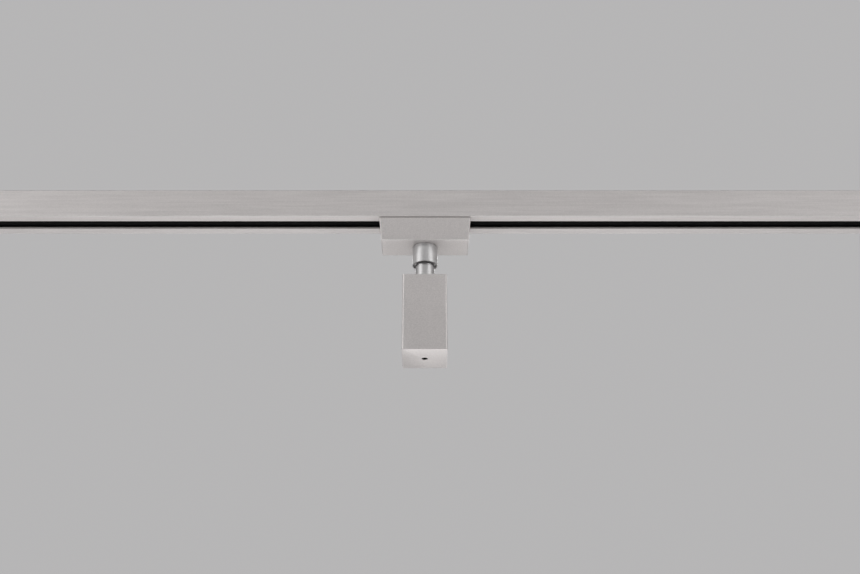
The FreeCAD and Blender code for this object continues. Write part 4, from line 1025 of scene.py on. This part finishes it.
# ------------------------------------------------------------------ light sources
# Two chip-on-board light sources on one white board. Each is a low ring of white silicone with a disc
# of yellow phosphor gel inside it.
SOURCE_RADIUS = 5.4 * MM
GEL_RADIUS = 4.6 * MM
DAM_BORE = 4.7 * MM

low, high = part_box("led_emitters")
cup_heights = [low.z + SOURCE_RADIUS, high.z - SOURCE_RADIUS]

white_mask = plain_finish("white solder mask", 0.45, 0.0, 700.0, (0.74, 0.74, 0.72), (0.82, 0.82, 0.80),
                          gloss=(0.35, 0.5))
dress(frame["nodes"]["led_board"], white_mask)

phosphor, tree, shader = new_finish("phosphor gel", 0.35)
pattern = use_effect(tree, grain, Scale=2200.0)
vary_colour(tree, shader, pattern.outputs["Speckle"], (0.78, 0.52, 0.06), (0.92, 0.70, 0.16))
vary_gloss(tree, shader, pattern.outputs["Cloud"], 0.25, 0.45)


def face_front(piece, y, z):
    """Turn a piece that was drawn up along Z so that it faces the light's way, at a place."""
    piece.rotation_euler = (-pi / 2, 0, 0)
    piece.location = (0, y, z)
    only(piece)
    bpy.ops.object.transform_apply(location=True, rotation=True, scale=True)


source_parts = []
for z in cup_heights:
    gel = turn_up("gel", [(GEL_RADIUS, 0.0), (GEL_RADIUS, 0.55 * MM), (4.3 * MM, 0.7 * MM),
                          (3.0 * MM, 0.82 * MM), (1.2 * MM, 0.88 * MM), (0.2 * MM, 0.9 * MM)], sides=64)
    dam = turn_up("dam", [(DAM_BORE, 0.0), (SOURCE_RADIUS, 0.0), (SOURCE_RADIUS, 0.5 * MM),
                          (5.05 * MM, 0.85 * MM), (DAM_BORE, 0.6 * MM)], sides=64, tube=True)
    for part, material in ((gel, phosphor), (dam, white_mask)):
        face_front(part, low.y, z)
        bpy.ops.object.shade_smooth_by_angle(angle=radians(35))
        dress(part, material)
        source_parts.append(part)
sources = join_pieces("light_sources", source_parts)
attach(sources, "head")
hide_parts("led_emitters")


# ------------------------------------------------------------------ reflectors
# Two spun aluminium bowls with small facets, bright inside, whose rims stand against the front plate.
BOWL_SIDES = 36
BOWL_STEPS = 9
THROAT_RADIUS = 6.5 * MM
MOUTH_RADIUS = 15.3 * MM
BOWL_WALL = 0.5 * MM
BOWL_CROWDING = 1.7

low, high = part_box("reflectors")
bowl_depth = high.y - low.y
profile = []
for step in range(BOWL_STEPS + 1):
    share = (step / BOWL_STEPS) ** BOWL_CROWDING
    profile.append((THROAT_RADIUS + (MOUTH_RADIUS - THROAT_RADIUS) * sqrt(share), bowl_depth * share))
outer = [(radius + BOWL_WALL, depth) for radius, depth in reversed(profile)]
bowls = []
for z in cup_heights:
    bowl = turn_up("bowl", profile + outer, sides=BOWL_SIDES, tube=True)
    face_front(bowl, low.y, z)
    work(bowl, "BEVEL", width=0.1 * MM, segments=1, limit_method="ANGLE", angle_limit=radians(60))
    bowls.append(bowl)
reflectors = join_pieces("reflector_bowls", bowls)
bright = plain_finish("bright reflector", 0.1, 1.0, 900.0, (0.84, 0.84, 0.85), (0.92, 0.92, 0.93),
                      gloss=(0.07, 0.16))
dress(reflectors, bright)
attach(reflectors, "head")
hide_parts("reflectors")


# ------------------------------------------------------------------ front plate, gasket, glass and bezel
# A matt black plate holds the bowls' rims. A silicone gasket, a clear glass with ground edges and an
# aluminium bezel with four tiny screws close the mouth.
BOWL_PLAY = 0.05 * MM
BEZEL_WIDTH = 2.4 * MM
WINDOW_ROUND = 1.2 * MM
BEZEL_SCREW_INSET = 1.6 * MM
BEZEL_SEAT_RADIUS = 1.0 * MM
BEZEL_SEAT_DEPTH = 0.75 * MM
BEZEL_SCREW_RADIUS = 0.92 * MM
BEZEL_SCREW_HEIGHT = 0.5 * MM
BEZEL_SCREW_SLOT = (0.25 * MM, 0.25 * MM)

low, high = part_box("reflector_plate")
plate = add_block("front_plate", low, high)
drill(plate, *[add_drum("opening", MOUTH_RADIUS + BOWL_PLAY, (0, low.y - MM, z), (0, high.y + MM, z), 96)
               for z in cup_heights])
break_edges(plate, 0.25 * MM, 3)
matt_black = plain_finish("matt black paint", 0.6, 0.0, 1800.0, (0.018, 0.018, 0.019), (0.03, 0.03, 0.031),
                          gloss=(0.5, 0.7), relief=0.3)
dress(plate, matt_black)
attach(plate, "head")
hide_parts("reflector_plate")

low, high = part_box("front_glass")
glass = add_block("front_glass_pane", low, high)
break_edges(glass, 0.35 * MM, 3)
clear, tree, shader = new_finish("clear glass", 0.0, 0.0, Transmission_Weight=1.0, IOR=1.5)
pattern = use_effect(tree, grain, Scale=300.0)
vary_colour(tree, shader, pattern.outputs["Cloud"], (0.965, 0.985, 0.975), (0.985, 0.995, 0.99))
vary_gloss(tree, shader, pattern.outputs["Cloud"], 0.0, 0.012)
dress(glass, clear)
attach(glass, "head")
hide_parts("front_glass")

low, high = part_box("front_bezel")
bezel = add_block("bezel_frame", low, high)
window = add_block("window", (low.x + BEZEL_WIDTH, low.y - MM, low.z + BEZEL_WIDTH),
                   (high.x - BEZEL_WIDTH, high.y + MM, high.z - BEZEL_WIDTH))
edit(window)
pick(window, "edges", lambda e: runs_along(e, 1))
bpy.ops.mesh.bevel(offset=WINDOW_ROUND, segments=5, affect="EDGES")
leave()
corners = [(x, z) for x in (low.x + BEZEL_SCREW_INSET, high.x - BEZEL_SCREW_INSET)
           for z in (low.z + BEZEL_SCREW_INSET, high.z - BEZEL_SCREW_INSET)]
seat_y = high.y - BEZEL_SEAT_DEPTH
seats = [add_drum("seat", BEZEL_SEAT_RADIUS, (x, seat_y, z), (x, high.y + MM, z), 32) for x, z in corners]
drill(bezel, window, *seats)
break_edges(bezel, 0.18 * MM, 2)
dress(bezel, head_paint)
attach(bezel, "head")
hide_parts("front_bezel")

bezel_heads = [add_screw("bezel screw", BEZEL_SCREW_RADIUS, BEZEL_SCREW_HEIGHT, (x, seat_y + 0.01 * MM, z),
                         (0, 1, 0), *BEZEL_SCREW_SLOT) for x, z in corners]
bezel_screws = join_pieces("bezel_screw_heads", bezel_heads)
dress(bezel_screws, black_oxide)
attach(bezel_screws, "head")
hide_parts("bezel_screws")


# ------------------------------------------------------------------ rubber, wires and electronics
# Silicone rubber for the gasket, grommet and lead, red silicone on the thin wires, green laminate for
# the supply's board, and glossy dark plastic on its components.
silicone = plain_finish("black silicone", 0.6, 0.0, 1400.0, (0.02, 0.02, 0.02), (0.04, 0.04, 0.04))
for node in ("glass_gasket", "lead_grommet", "stem_lead"):
    dress(frame["nodes"][node], silicone)

wire_red = plain_finish("red wire sleeve", 0.4, 0.0, 900.0, (0.42, 0.03, 0.02), (0.58, 0.06, 0.04))
for node in ("adapter_wires", "head_lead"):
    dress(frame["nodes"][node], wire_red)

laminate = plain_finish("green laminate", 0.35, 0.0, 900.0, (0.02, 0.12, 0.05), (0.04, 0.18, 0.08))
dress(frame["nodes"]["driver_board"], laminate)

component = plain_finish("component plastic", 0.3, 0.0, 500.0, (0.04, 0.04, 0.045), (0.08, 0.08, 0.085))
dress(frame["nodes"]["driver_components"], component)
